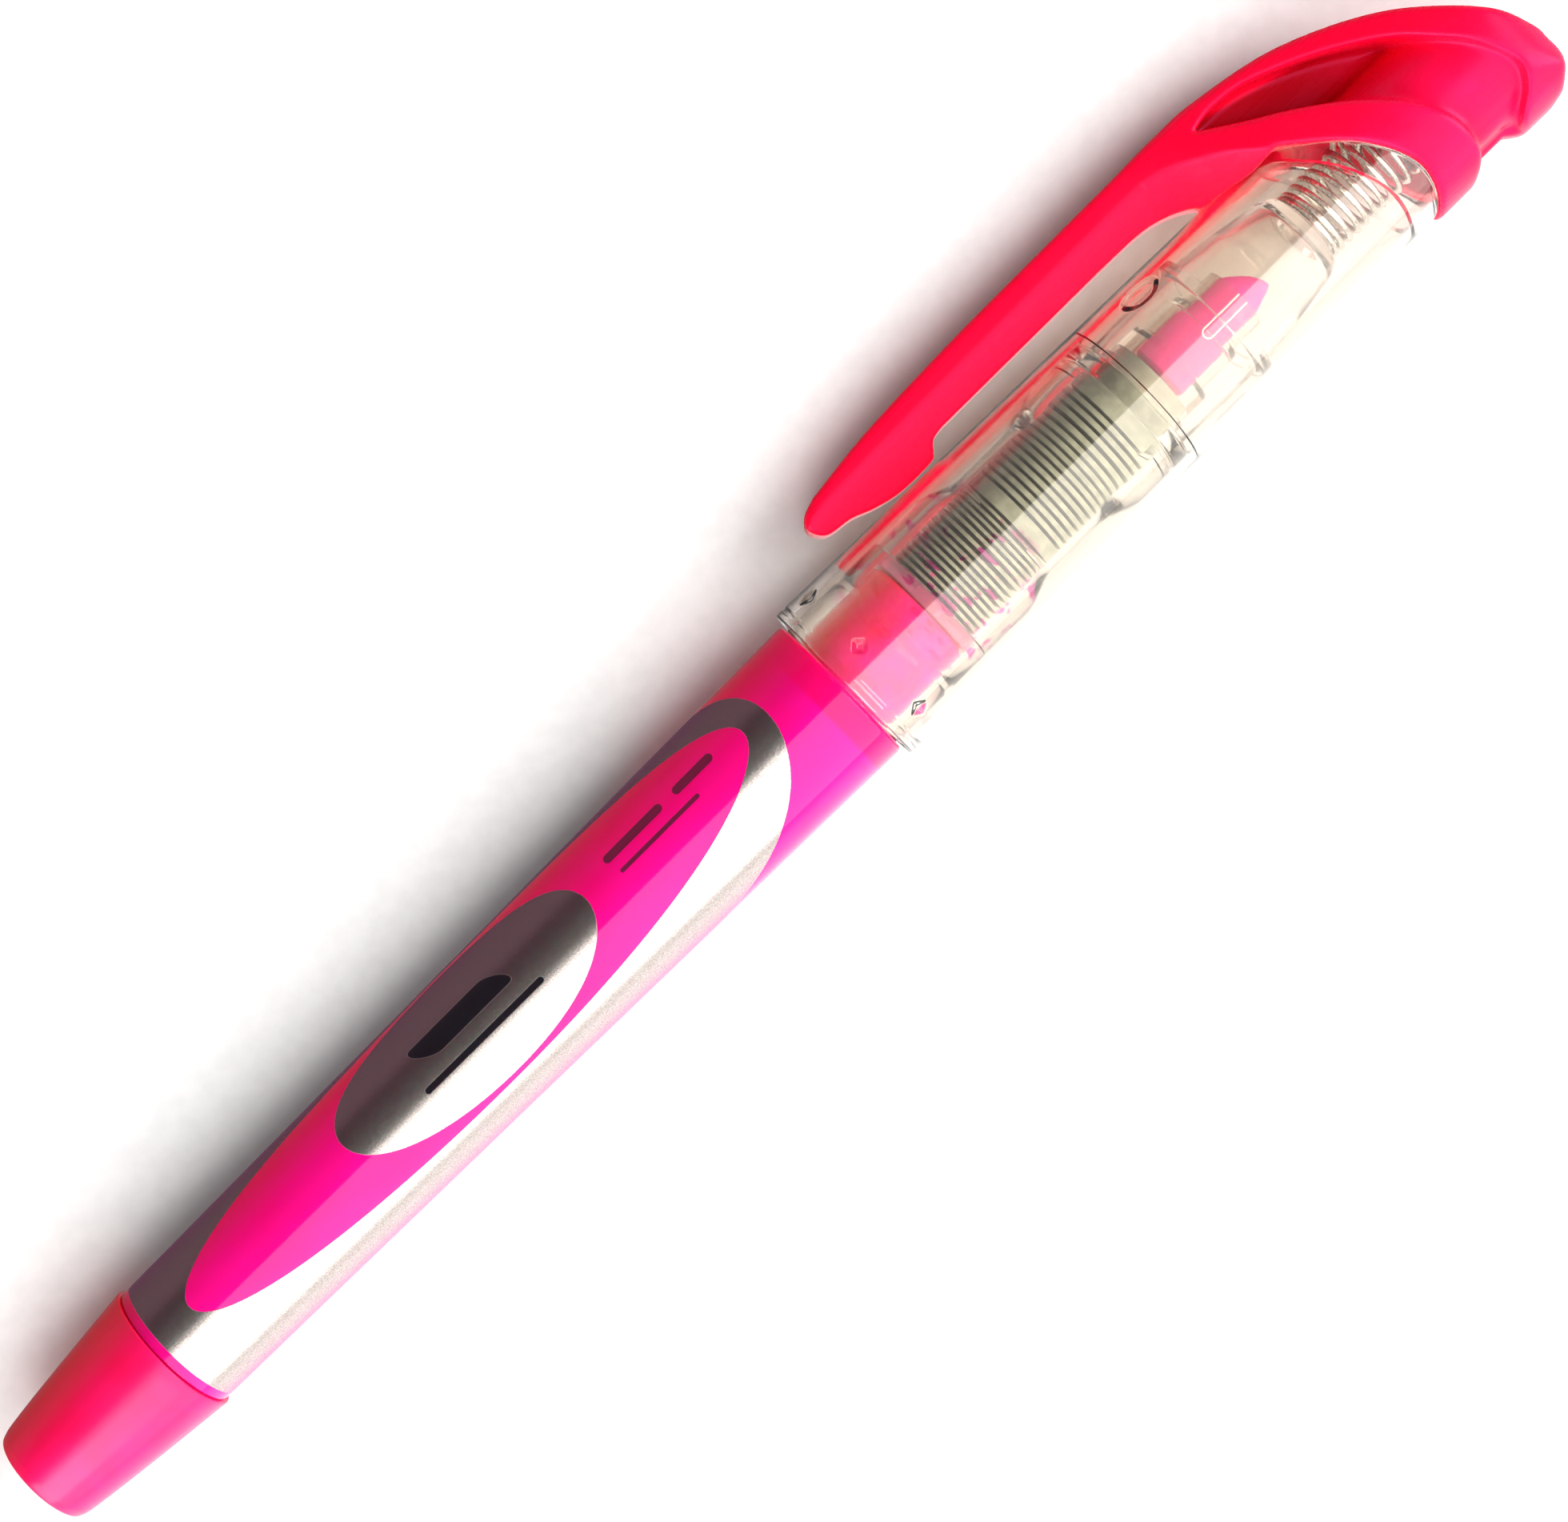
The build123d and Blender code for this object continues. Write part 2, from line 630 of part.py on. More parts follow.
# ---- clip: springs away from the tube, bending at its root ------------------------------
BUMP = 6.75                 # inner face of the bump that grips a pocket
BUMP_FROM = 91.4
BUMP_TO = 94.4
BUMP_HEAD_END = 96.6
EDGE_DROP = 0.45            # how far the crown of the clip's back falls at its edges
NOSE_TOP = (86.6, 10.72)
NOSE_LOW = (85.6, 8.2)
with BuildPart() as clip_arm:
    with BuildSketch(PEN):
        with BuildLine():
            Spline(NOSE_TOP, (92.0, 11.36), (104.0, 11.76), ARCH_POINTS[0])
            Polyline(
                ARCH_POINTS[0],
                (CLIP_SPLIT, CLIP_UNDER),
                (BUMP_HEAD_END, CLIP_UNDER),
            )
            Spline((BUMP_HEAD_END, CLIP_UNDER), (95.6, 7.6), (95.1, 7.0), (BUMP_TO, BUMP))
            Line((BUMP_TO, BUMP), (BUMP_FROM, BUMP))
            Spline((BUMP_FROM, BUMP), (89.4, 7.2), (87.6, 7.85), NOSE_LOW)
            ThreePointArc(NOSE_LOW, (CLIP_TIP, 9.5), NOSE_TOP)
        make_face()
    extrude(amount=CLIP_HALF_WIDTH, both=True)
    with BuildSketch(across(CLIP_TIP - 1)):
        with BuildLine():
            ThreePointArc(
                (-CLIP_HALF_WIDTH, CLIP_TOP - EDGE_DROP),
                (0, CLIP_TOP + 0.1),
                (CLIP_HALF_WIDTH, CLIP_TOP - EDGE_DROP),
            )
            Polyline(
                (CLIP_HALF_WIDTH, CLIP_TOP - EDGE_DROP),
                (CLIP_HALF_WIDTH, CLIP_RIDGE),
                (CLIP_UNDER_HALF_WIDTH, CLIP_UNDER),
                (CLIP_UNDER_HALF_WIDTH, BUMP - 1),
                (-CLIP_UNDER_HALF_WIDTH, BUMP - 1),
                (-CLIP_UNDER_HALF_WIDTH, CLIP_UNDER),
                (-CLIP_HALF_WIDTH, CLIP_RIDGE),
                (-CLIP_HALF_WIDTH, CLIP_TOP - EDGE_DROP),
            )
        make_face()
    extrude(amount=CLIP_SPLIT - CLIP_TIP + 2, dir=PEN.x_dir, mode=Mode.INTERSECT)
keep(clip_arm, "clip_arm")

# ---- figures for the record -------------------------------------------------------------
everything = [
    tail_plug, barrel, front_section, ink_partition, ink_fill, comb_feed, feed_wick,
    tip_holder, chisel_tip, cap_tube, inner_cap, cap_spring, cap_crown, clip_arm,
]
if __name__ == "__main__":
    box = Compound([piece.part for piece in everything]).bounding_box()
    print("low", box.min, "high", box.max)
    print("axis", AXIS_Y, AXIS_Z, "turn", degrees(turn))
    print("clip hinge", PEN.from_local_coords(Vector(CLIP_SPLIT, CLIP_TOP, 0)), PEN.z_dir)
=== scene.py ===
"""Capped liquid-ink highlighter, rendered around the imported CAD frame.

Pen coordinates are used for building: station along the pen from its tail end, then the distance
from the axis towards the clip, then the distance towards the upper side, all in millimetres.
"""

import json
import math

import bmesh
import bpy
import numpy as np
import openvdb
from mathutils import Matrix, Vector


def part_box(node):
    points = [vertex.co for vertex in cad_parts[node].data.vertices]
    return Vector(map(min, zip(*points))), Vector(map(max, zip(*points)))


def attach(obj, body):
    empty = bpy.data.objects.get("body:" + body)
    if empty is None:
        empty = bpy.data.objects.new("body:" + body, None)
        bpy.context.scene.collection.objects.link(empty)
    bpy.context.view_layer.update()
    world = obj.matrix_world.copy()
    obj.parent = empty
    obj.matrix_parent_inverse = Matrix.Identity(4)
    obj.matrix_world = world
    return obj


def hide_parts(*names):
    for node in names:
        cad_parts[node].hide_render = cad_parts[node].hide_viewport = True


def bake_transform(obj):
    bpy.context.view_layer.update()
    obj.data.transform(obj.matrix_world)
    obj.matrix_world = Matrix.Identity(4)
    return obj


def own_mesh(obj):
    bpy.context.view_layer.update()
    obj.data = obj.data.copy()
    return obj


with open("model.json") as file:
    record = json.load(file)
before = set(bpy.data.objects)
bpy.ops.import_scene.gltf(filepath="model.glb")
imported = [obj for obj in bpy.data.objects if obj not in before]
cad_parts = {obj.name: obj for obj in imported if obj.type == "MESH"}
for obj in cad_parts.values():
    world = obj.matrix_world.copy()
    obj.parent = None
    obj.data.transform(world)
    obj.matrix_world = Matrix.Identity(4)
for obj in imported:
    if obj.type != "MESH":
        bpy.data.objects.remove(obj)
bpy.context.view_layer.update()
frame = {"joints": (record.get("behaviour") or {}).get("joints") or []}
MM = 0.001
TINY = 1e-6

# ---- the pen's own frame, read from the CAD ----
joints = {joint["name"]: joint for joint in frame["joints"]}
barrel_low, barrel_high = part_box("barrel")
TAIL_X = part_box("tail_plug")[0].x
AXIS_YZ = ((barrel_low.y + barrel_high.y) / 2, (barrel_low.z + barrel_high.z) / 2)
ALONG = Vector((1, 0, 0))
UPPER = -Vector(joints["clip_flex"]["axis"])
UPPER.normalize()
CLIPWARD = UPPER.cross(ALONG)
ORIGIN = Vector((TAIL_X, *AXIS_YZ))


def place(station, clipward=0.0, upper=0.0):
    """World position in metres of a point in pen coordinates, mm."""
    return ORIGIN + (ALONG * station + CLIPWARD * clipward + UPPER * upper) * MM


def station(node, end):
    """Station in mm of a CAD node's tail end (0) or head end (1)."""
    return (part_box(node)[end].x - TAIL_X) / MM


def span(node):
    """Stations of both ends of a CAD node."""
    return station(node, 0), station(node, 1)


def radius(node):
    """Outer radius in mm of a CAD node that is turned about the axis."""
    low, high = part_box(node)
    return (high.z - low.z) / 2 / MM


LENGTH = station("cap_crown", 1)
BARREL_START, BARREL_END = span("barrel")
BARREL_FRONT_R = radius("barrel")
BARREL_TAIL_R = 5.15
BARREL_WALL = 1.0
SECTION_END = station("front_section", 1)
SECTION_R = radius("front_section")
MOUTH = station("cap_tube", 0)
MOUTH_R = radius("cap_tube")
CAP_SLOPE = 0.0174
INNER_MOUTH, INNER_END = span("inner_cap")
INNER_FLANGE_R = radius("inner_cap")
COMB_START, COMB_END = span("comb_feed")
FIN_R = radius("comb_feed")
TIP_START, TIP_END = span("chisel_tip")
SPRING_START, SPRING_END = span("cap_spring")
COIL_OUT_R = radius("cap_spring")
CLIP_TIP, CLIP_SPLIT = span("clip_arm")


def cap_r(at):
    """Outer radius of the tapered cap at a station."""
    return MOUTH_R - CAP_SLOPE * (at - MOUTH)


# ---- mesh helpers ----
def linked(name, data):
    """A new object in the scene, with the given mesh, light or camera."""
    obj = bpy.data.objects.new(name, data)
    bpy.context.scene.collection.objects.link(obj)
    return obj


def smooth_mesh(name, positions, faces, sharp_over=None):
    """A mesh with its faces outward and smooth, except at edges sharper than a limit."""
    mesh = bpy.data.meshes.new(name)
    mesh.from_pydata(positions, [], faces)
    mesh.update()
    work = bmesh.new()
    work.from_mesh(mesh)
    bmesh.ops.recalc_face_normals(work, faces=work.faces)
    for face in work.faces:
        face.smooth = True
    if sharp_over:
        limit = math.radians(sharp_over)
        for edge in work.edges:
            edge.smooth = len(edge.link_faces) == 2 and edge.calc_face_angle(0.0) < limit
    work.to_mesh(mesh)
    work.free()
    return mesh


def new_object(name, points, faces, sharp_over=35.0):
    """A mesh object from points in pen coordinates."""
    positions = [place(*point) for point in points]
    return linked(name, smooth_mesh(name, positions, faces, sharp_over))


def skin(rings, sides):
    """Faces over a run of rings with equally many points, closed at both ends."""
    faces = []
    for a in range(0, (rings - 1) * sides, sides):
        for side in range(sides):
            after = (side + 1) % sides
            faces.append((a + side, a + after, a + sides + after, a + sides + side))
    last = (rings - 1) * sides
    return faces + [tuple(range(sides)), tuple(range(last, last + sides))]


def shares(steps):
    """Evenly spaced shares from 0 to 1."""
    return [step / steps for step in range(steps + 1)]


def circle(sides):
    """Cosine and sine of evenly spaced turns."""
    turns = [2 * math.pi * side / sides for side in range(sides)]
    return [(math.cos(turn), math.sin(turn)) for turn in turns]


def rounded(outline, fillet):
    """The outline with its corners rounded. A point may carry its own radius as a third value."""
    made = []
    for index, point in enumerate(outline):
        size = point[2] if len(point) > 2 else fillet
        here = np.array(point[:2], float)
        before = np.array(outline[index - 1][:2], float) - here
        after = np.array(outline[(index + 1) % len(outline)][:2], float) - here
        long_before, long_after = np.linalg.norm(before), np.linalg.norm(after)
        half = math.pi
        if size > 0 and here[1] >= TINY and min(long_before, long_after) >= TINY:
            before, after = before / long_before, after / long_after
            half = math.acos(float(np.clip(before @ after, -1, 1))) / 2
        if half > math.radians(87):
            made.append(tuple(here))
            continue
        reach = min(size / math.tan(half), 0.45 * long_before, 0.45 * long_after)
        start, end = here + before * reach, here + after * reach
        made += [tuple((1 - t) ** 2 * start + 2 * t * (1 - t) * here + t * t * end)
                 for t in shares(4)]
    return made


def smooth_step(start, end, low_r, high_r):
    """Outline points of an S-shaped slope between two radii."""
    return [(start + (end - start) * t, low_r + (high_r - low_r) * (t * t * (3 - 2 * t)), 0)
            for t in shares(14)]


def divided(outline, longest):
    """The outline with long straight runs cut into shorter ones, for even faces."""
    made = []
    for index, point in enumerate(outline):
        nxt = outline[(index + 1) % len(outline)]
        made.append(point)
        cuts = int(math.dist(point, nxt) / longest)
        for cut in range(1, cuts + 1):
            t = cut / (cuts + 1)
            made.append((point[0] + (nxt[0] - point[0]) * t, point[1] + (nxt[1] - point[1]) * t))
    return made


def lathe(name, outline, fillet=0.08, segments=160, longest=6.0, sharp_over=35.0):
    """A closed outline of (station, radius) turned about the pen's axis."""
    ring = divided(rounded(outline, fillet), longest)
    points, faces, first = [], [], []
    for at, r in ring:
        first.append(len(points))
        if r < TINY:
            points.append((at, 0.0, 0.0))
        else:
            points += [(at, -r * cos, r * sin) for cos, sin in circle(segments)]
    count = len(ring)
    for index in range(count):
        nxt = (index + 1) % count
        a, b = first[index], first[nxt]
        flat_a, flat_b = ring[index][1] < TINY, ring[nxt][1] < TINY
        if flat_a and flat_b:
            continue
        for turn in range(segments):
            side = (turn + 1) % segments
            if flat_a:
                faces.append((a, b + turn, b + side))
            elif flat_b:
                faces.append((a + turn, b, a + side))
            else:
                faces.append((a + turn, b + turn, b + side, a + side))
    return new_object(name, points, faces, sharp_over)


def curve(points):
    """A smooth open curve through the points, as a fine polyline."""
    points = [np.array(point, float) for point in points]
    padded = [2 * points[0] - points[1], *points, 2 * points[-1] - points[-2]]
    made = []
    for p0, p1, p2, p3 in zip(padded, padded[1:], padded[2:], padded[3:]):
        made += [0.5 * (2 * p1 + (p2 - p0) * t + (2 * p0 - 5 * p1 + 4 * p2 - p3) * t ** 2
                        + (3 * p1 - p0 - 3 * p2 + p3) * t ** 3) for t in shares(12)[:-1]]
    made.append(points[-1])
    return [tuple(point) for point in made]


# ---- signed distances for the crown ----
def inside_distance(outline, xs, ys):
    """Signed distance of grid points to a closed outline, below 0 inside, as an (x, y) array."""
    grid_x, grid_y = np.meshgrid(xs, ys, indexing="ij")
    best = np.full(grid_x.shape, 1e9)
    inside = np.zeros(grid_x.shape, bool)
    for index, (bx, by) in enumerate(outline):
        ax, ay = outline[index - 1]
        dx, dy = bx - ax, by - ay
        span = dx * dx + dy * dy
        if span < 1e-12:
            continue
        t = np.clip(((grid_x - ax) * dx + (grid_y - ay) * dy) / span, 0, 1)
        best = np.minimum(best, (grid_x - ax - t * dx) ** 2 + (grid_y - ay - t * dy) ** 2)
        if dy != 0:
            crosses = (ay > grid_y) != (by > grid_y)
            inside ^= crosses & (grid_x < dx * (grid_y - ay) / dy + ax)
    return np.where(inside, -1, 1) * np.sqrt(best)


def soft_max(a, b, soft):
    """The larger of two fields, with a round of about the given size where they are equal."""
    h = np.clip(0.5 - 0.5 * (b - a) / soft, 0, 1)
    return b + (a - b) * h + soft * h * (1 - h)


def soft_min(a, b, soft):
    return -soft_max(-a, -b, soft)


def from_field(name, field, low, pitch):
    """A mesh object where the field is 0. low is the grid's first corner, in pen coordinates."""
    band = 3 * pitch
    grid = openvdb.FloatGrid(band)
    grid.copyFromArray(np.clip(field, -band, band).astype(np.float32))
    points, _, quads = grid.convertToPolygons(isovalue=0.0)
    shape = np.array(field.shape) - 1

    def sample(at):
        """Field value at grid positions, linear between grid points."""
        at = np.clip(at, 0, shape - 1e-4)
        base = at.astype(int)
        part = at - base
        total = np.zeros(len(at))
        for corner in range(8):
            step = np.array([(corner >> axis) & 1 for axis in range(3)])
            weight = np.prod(np.where(step, part, 1 - part), axis=1)
            index = base + step
            total += weight * field[index[:, 0], index[:, 1], index[:, 2]]
        return total

    # move the points onto the surface and take their normals from the field
    points = points.astype(float)
    reach = 0.75
    for _ in range(3):
        slope = np.stack([
            (sample(points + reach * unit) - sample(points - reach * unit)) / (2 * reach)
            for unit in np.eye(3)], axis=1)
        steep = np.maximum((slope ** 2).sum(axis=1), (0.3 * pitch) ** 2)
        move = (sample(points) / steep)[:, None] * slope
        points = points - np.clip(move, -0.6, 0.6)
    normals = slope / np.maximum(np.linalg.norm(slope, axis=1), 1e-9)[:, None]
    places = points * pitch + np.array(low)
    turn = np.array([ALONG, CLIPWARD, UPPER])
    world = np.array(ORIGIN) + (places @ turn) * MM
    mesh = smooth_mesh(name, world.tolist(), quads[:, ::-1].tolist())
    mesh.normals_split_custom_set_from_vertices((normals @ turn).tolist())
    return linked(name, mesh)


# ---- outlines of the cap's head, seen square to the clip ----
COLLAR_R = 6.22
CORE_R = 5.2
CROWN_BORE_R = 4.3
SPRING_SEAT = SPRING_END + 0.02
CORE_FROM = 124.0
CORE_INSET = 0.45           # how far the core stays inside the arch's outline
HALF_WIDTH = 2.75           # of the clip
TOP_HALF_WIDTH = 2.9        # of the arch at its crest
CREST = 12.2
WEB_HALF = 0.9
BEVEL = 0.64                # half-width lost per mm below the ridge
CUT = [(123.4, 7.4), (126.2, 5.4), (129.9, 2.0), (132.0, -1.6), (132.2, -4.4), (131.2, -7.0)]
ARCH = [(CLIP_SPLIT, 11.85), (121.0, 11.9), (124.8, 11.7), (131.4, 10.3), (138.1, 6.9),
        (143.1, 2.0), (LENGTH - 0.15, -1.0), (LENGTH, -2.4), (LENGTH - 0.1, -4.0),
        (LENGTH - 1.2, -5.9)]
CLIP_BACK = [(86.6, 10.72), (92.0, 11.36), (98.1, 11.66), (104.0, 11.78), (CLIP_SPLIT, 11.85)]
CLIP_FRONT = [(96.6, 7.95), (95.6, 7.75), (95.0, 7.1), (94.4, 6.76), (91.6, 6.75), (89.4, 7.2),
              (87.6, 7.85), (85.6, 8.2), (CLIP_TIP + 0.02, 9.3), (85.3, 10.2), (86.6, 10.72)]
ROOT = [(120.8, 5.2), (120.2, 6.15), (119.2, 6.85), (117.6, 7.5), (115.6, 7.85), (112.0, 7.95)]
RIDGE = [(84.0, 9.3), (88.0, 9.7), (98.0, 9.9), (112.0, 10.0), (117.3, 10.0), (119.5, 9.75),
         (121.4, 9.05), (123.4, 7.8), (125.9, 5.6), (128.1, 3.7), (129.8, 2.0), (131.0, -0.2),
         (132.4, -6.0)]
WINDOW_TOP = [(123.2, 10.15), (125.0, 10.45), (127.5, 10.2), (129.8, 9.4), (132.6, 8.1),
              (135.3, 6.5), (137.4, 4.9), (139.1, 3.0), (140.5, 1.2), (141.6, -0.9),
              (141.9, -2.4), (141.3, -3.8), (140.0, -5.2), (139.3, -7.5)]
WINDOW_LOW = [(123.2, 10.15), (126.1, 8.2), (128.8, 6.5), (131.6, 4.4), (133.5, 2.5),
              (134.8, 0.8), (135.7, -1.0), (136.2, -2.7), (136.3, -4.7), (136.0, -7.5)]
PLAN = [(CLIP_TIP - 2, HALF_WIDTH - 0.3), (90.0, HALF_WIDTH), (115.0, HALF_WIDTH),
        (118.5, 3.0), (122.0, 3.9), (125.5, 5.3), (129.0, COLLAR_R), (133.0, COLLAR_R + 0.2),
        (138.5, COLLAR_R + 0.2), (141.5, 5.9), (143.6, 5.1), (LENGTH, 3.9), (LENGTH + 2, 2.0)]
BEVEL_END = 127.0
BEVEL_SCALE = 0.84          # turns the bevel's measure across the pen into a distance
FIELD_INSIDE = -9.0         # a distance that never decides
CELL = 0.17                 # grid pitch of the crown's field, mm
SOFT_EDGE, SOFT_BEVEL, SOFT_RECESS, SOFT_WINDOW, SOFT_CORE = 0.55, 0.22, 0.6, 0.5, 0.7
CLEARANCE = 0.03            # between the crown and the clear tube


def crown_and_clip():
    """Collar, arch, core and clip: one moulding, with soft edges all round."""
    low = (CLIP_TIP - 1.0, -COLLAR_R - 1.4, -COLLAR_R - 0.9)
    high = (LENGTH + 1.0, CREST + 0.9, COLLAR_R + 0.9)
    xs, ys, zs = (np.arange(a, b, CELL) for a, b in zip(low, high))
    x, y, z = xs[:, None, None], ys[None, :, None], np.abs(zs)[None, None, :]

    cut = curve(CUT)
    outline = (
        curve(CLIP_BACK)[:-1] + curve(ARCH)
        + [(142.6, -COLLAR_R - 0.15), (140.3, -COLLAR_R - 0.1), (138.9, -CORE_R),
           (136.2, -CORE_R), (135.0, -COLLAR_R - 0.3), (131.6, -COLLAR_R - 0.3)]
        + [point for point in cut[::-1] if -COLLAR_R < point[1] < 5.6]
        + curve(ROOT) + curve(CLIP_FRONT)
    )
    side = inside_distance(outline, xs, ys)[:, :, None]

    # seen along the pen: a round below, and flat flanks that lean in to the crest
    crest_off = math.hypot(TOP_HALF_WIDTH, CREST)
    lean = math.atan2(TOP_HALF_WIDTH, CREST) + math.acos(COLLAR_R / crest_off)
    flank = z * math.sin(lean) + y * math.cos(lean) - COLLAR_R
    around = np.sqrt(y * y + z * z) - COLLAR_R
    section = np.where(np.arctan2(z, y) < lean, flank, around)

    plan_x, plan_w = zip(*curve(PLAN))
    plan = z - np.interp(xs, plan_x, plan_w)[:, None, None]

    # below the ridge the flanks are bevelled towards the pen
    ridge_x, ridge_y = zip(*curve(RIDGE))
    ridge = np.interp(xs, ridge_x, ridge_y)
    lean_width = (COLLAR_R - ridge * math.cos(lean)) / math.sin(lean)
    ridge_width = np.minimum(np.interp(xs, plan_x, plan_w), np.maximum(lean_width, 0.5))
    bevel = (z - ridge_width[:, None, None] + BEVEL * (ridge[:, None, None] - y)) * BEVEL_SCALE
    bevel = np.where(x < BEVEL_END, bevel, FIELD_INSIDE)

    body = soft_max(side, soft_max(section, plan, SOFT_EDGE), SOFT_EDGE)
    body = soft_max(body, bevel, SOFT_BEVEL)

    window = inside_distance(curve(WINDOW_TOP) + curve(WINDOW_LOW)[::-1], xs, ys)[:, :, None]
    recess = soft_max(window, WEB_HALF - z, SOFT_RECESS)
    body = soft_max(body, -recess, SOFT_WINDOW)

    distance = np.sqrt(y * y + z * z)
    core = soft_max(distance - CORE_R, np.maximum(side, plan) + CORE_INSET, SOFT_EDGE)
    body = soft_min(body, np.maximum(core, CORE_FROM - x), SOFT_CORE)

    # the clear tube and the spring take their room out of it
    far = LENGTH + 15.0
    past_cut = inside_distance(
        cut + [(cut[-1][0], -9.0), (far, -9.0), (far, 14.0), (cut[0][0], 14.0)], xs, ys)[:, :, None]
    tube = np.maximum(distance - cap_r(x), -past_cut) - CLEARANCE
    bore = np.maximum(distance - CROWN_BORE_R, x - SPRING_SEAT)
    body = np.maximum(body, np.maximum(-tube, -bore))
    return from_field("crown_and_clip", body, low, CELL)


# ---- turned pieces ----
SEAT_R = BARREL_TAIL_R - BARREL_WALL
SOCKET_R = BARREL_FRONT_R - BARREL_WALL
PLUG_SPIGOT_END = station("tail_plug", 1)
SPIGOT_START = station("front_section", 0)
FLANGE_R = radius("tail_plug")
TAIL_R = 4.05
CHAMBER_R = radius("ink_partition")
PARTITION_START, PARTITION_FRONT = span("ink_partition")
COMB_BORE_R = 0.97
COMB_SHOULDER = 106.4
HOLDER_SEAT_R = 3.2
SECTION_BORE_R = 4.0
WAIST_R = 4.55
GROOVE = 0.15               # depth of the fine rings round the section
PLAY = 0.02                 # between pieces that fit into each other
WICK_R = 0.94
WIRE_R = 0.23
HOLDER_END = station("tip_holder", 1)
SLOT_OFF = -0.4             # of the tip holder's air slot, clipward
TIP_HALF_THICK, TIP_DEEP = 1.5, 3.58
# station, clipward side, far side, half thickness
TIP_SHANK = [(TIP_START, 1.9, -1.9, 1.9), (TIP_START + 0.25, 2.2, -2.2, 2.2),
             (113.9, 2.2, -2.2, 2.2), (114.2, 2.05, -2.05, 1.95), (114.45, 1.8, -1.85, 1.65),
             (115.2, 1.78, -1.82, 1.55), (116.4, 1.77, -1.81, TIP_HALF_THICK)]
TIP_NOSE = [(117.3, 1.76, -1.8), (117.8, 1.68, -1.78), (118.2, 1.42, -1.68), (118.6, 1.1, -1.56),
            (119.0, 0.74, -1.4), (119.3, 0.42, -1.3), (119.55, 0.02, -1.2), (119.75, -0.4, -1.12),
            (TIP_END - 0.03, -0.78, -1.02)]


def make_tail_plug():
    shoulder = 0.75
    flank = [(shoulder + t * (BARREL_START - shoulder), TAIL_R + (FLANGE_R - TAIL_R) * t ** 0.86, 0)
             for t in np.linspace(0.04, 1, 12)]
    flank[-1] = (BARREL_START - 0.06, FLANGE_R, 0.12)
    return lathe("tail_plug_moulding", [
        (0.12, 0), (0.1, TAIL_R - 1.2, 2.0), (0.0, TAIL_R - 0.9, 0.5), (0.0, TAIL_R - 0.25, 1.3),
        (shoulder, TAIL_R, 1.0), *flank, (BARREL_START - 0.06, SEAT_R),
        (PLUG_SPIGOT_END, SEAT_R - 0.01), (PLUG_SPIGOT_END, SEAT_R - 1.1),
        (1.7, TAIL_R - 1.3), (1.7, 0),
    ], fillet=0.25)


def make_barrel():
    return lathe("barrel_tube", [
        (BARREL_START, SEAT_R), (BARREL_START, BARREL_TAIL_R, 0.12),
        (BARREL_END, BARREL_FRONT_R, 0.5), (BARREL_END, SOCKET_R, 0.1),
        (SPIGOT_START, SOCKET_R), (SPIGOT_START - 0.6, SOCKET_R - 0.3), (PLUG_SPIGOT_END, SEAT_R),
    ], fillet=0.1, segments=192, longest=3.0)


def make_section():
    return lathe("front_section_clear", [
        (SPIGOT_START, CHAMBER_R), (SPIGOT_START, SOCKET_R - 0.01, 0.1),
        (BARREL_END, SOCKET_R - 0.01, 0), (BARREL_END + 0.02, SECTION_R, 0.2),
        (83.6, SECTION_R, 0), (83.8, SECTION_R - GROOVE + 0.01, 0.1),
        (84.4, SECTION_R - GROOVE + 0.01, 0.1), (84.6, SECTION_R, 0),
        *smooth_step(91.7, 95.1, SECTION_R, WAIST_R), *smooth_step(99.7, 103.1, WAIST_R, SECTION_R),
        (105.6, SECTION_R, 0.05), (105.7, SECTION_R - GROOVE, 0.05),
        (106.2, SECTION_R - GROOVE, 0.05), (106.3, SECTION_R, 0.05),
        (SECTION_END, SECTION_R, 0.4), (SECTION_END, 3.3, 0.1),
        (COMB_SHOULDER, 3.3, 0.1), (COMB_SHOULDER, SECTION_BORE_R, 0.2),
        (PARTITION_FRONT, SECTION_BORE_R), (PARTITION_FRONT, CHAMBER_R),
    ], fillet=0.1, segments=192, longest=3.0)


def make_partition():
    disc = PARTITION_START + 2.4
    return lathe("ink_partition_disc", [
        (disc, CHAMBER_R - PLAY), (PARTITION_FRONT, CHAMBER_R - PLAY),
        (PARTITION_FRONT, COMB_BORE_R), (PARTITION_START, COMB_BORE_R),
        (PARTITION_START, 1.6, 0.15), (disc, 1.6, 0.2),
    ])


def make_ink():
    start, end = span("ink_fill")
    chamber, feed = CHAMBER_R - 0.04, 1.65
    return lathe("ink_column", [
        (start, 0), (start, SEAT_R - 0.05), (SPIGOT_START - 0.6, SOCKET_R - 0.35),
        (SPIGOT_START - 0.3, chamber), (end - 0.4, chamber), (end - 0.1, CHAMBER_R - 0.4),
        (end, feed), (end - 2.5, feed), (end - 2.5, 0),
    ])


FIN_PACKS = ((0.50, 0.0), (0.605, 0.9))     # pitch, and room before the pack
FINS_IN_PACK, FIN_GAP, FIN_ROOT_R = 15, 0.26, 2.3


def box(centre, size):
    """A box along the pen's own axes, given by its middle and its three lengths."""
    corners = [
        [middle + sign * length / 2 for middle, sign, length in zip(centre, signs, size)]
        for signs in ((-1, -1, -1), (1, -1, -1), (1, 1, -1), (-1, 1, -1),
                      (-1, -1, 1), (1, -1, 1), (1, 1, 1), (-1, 1, 1))
    ]
    return new_object("cutter", corners, [
        (0, 1, 2, 3), (4, 5, 6, 7), (0, 1, 5, 4), (1, 2, 6, 5), (2, 3, 7, 6), (3, 0, 4, 7)])


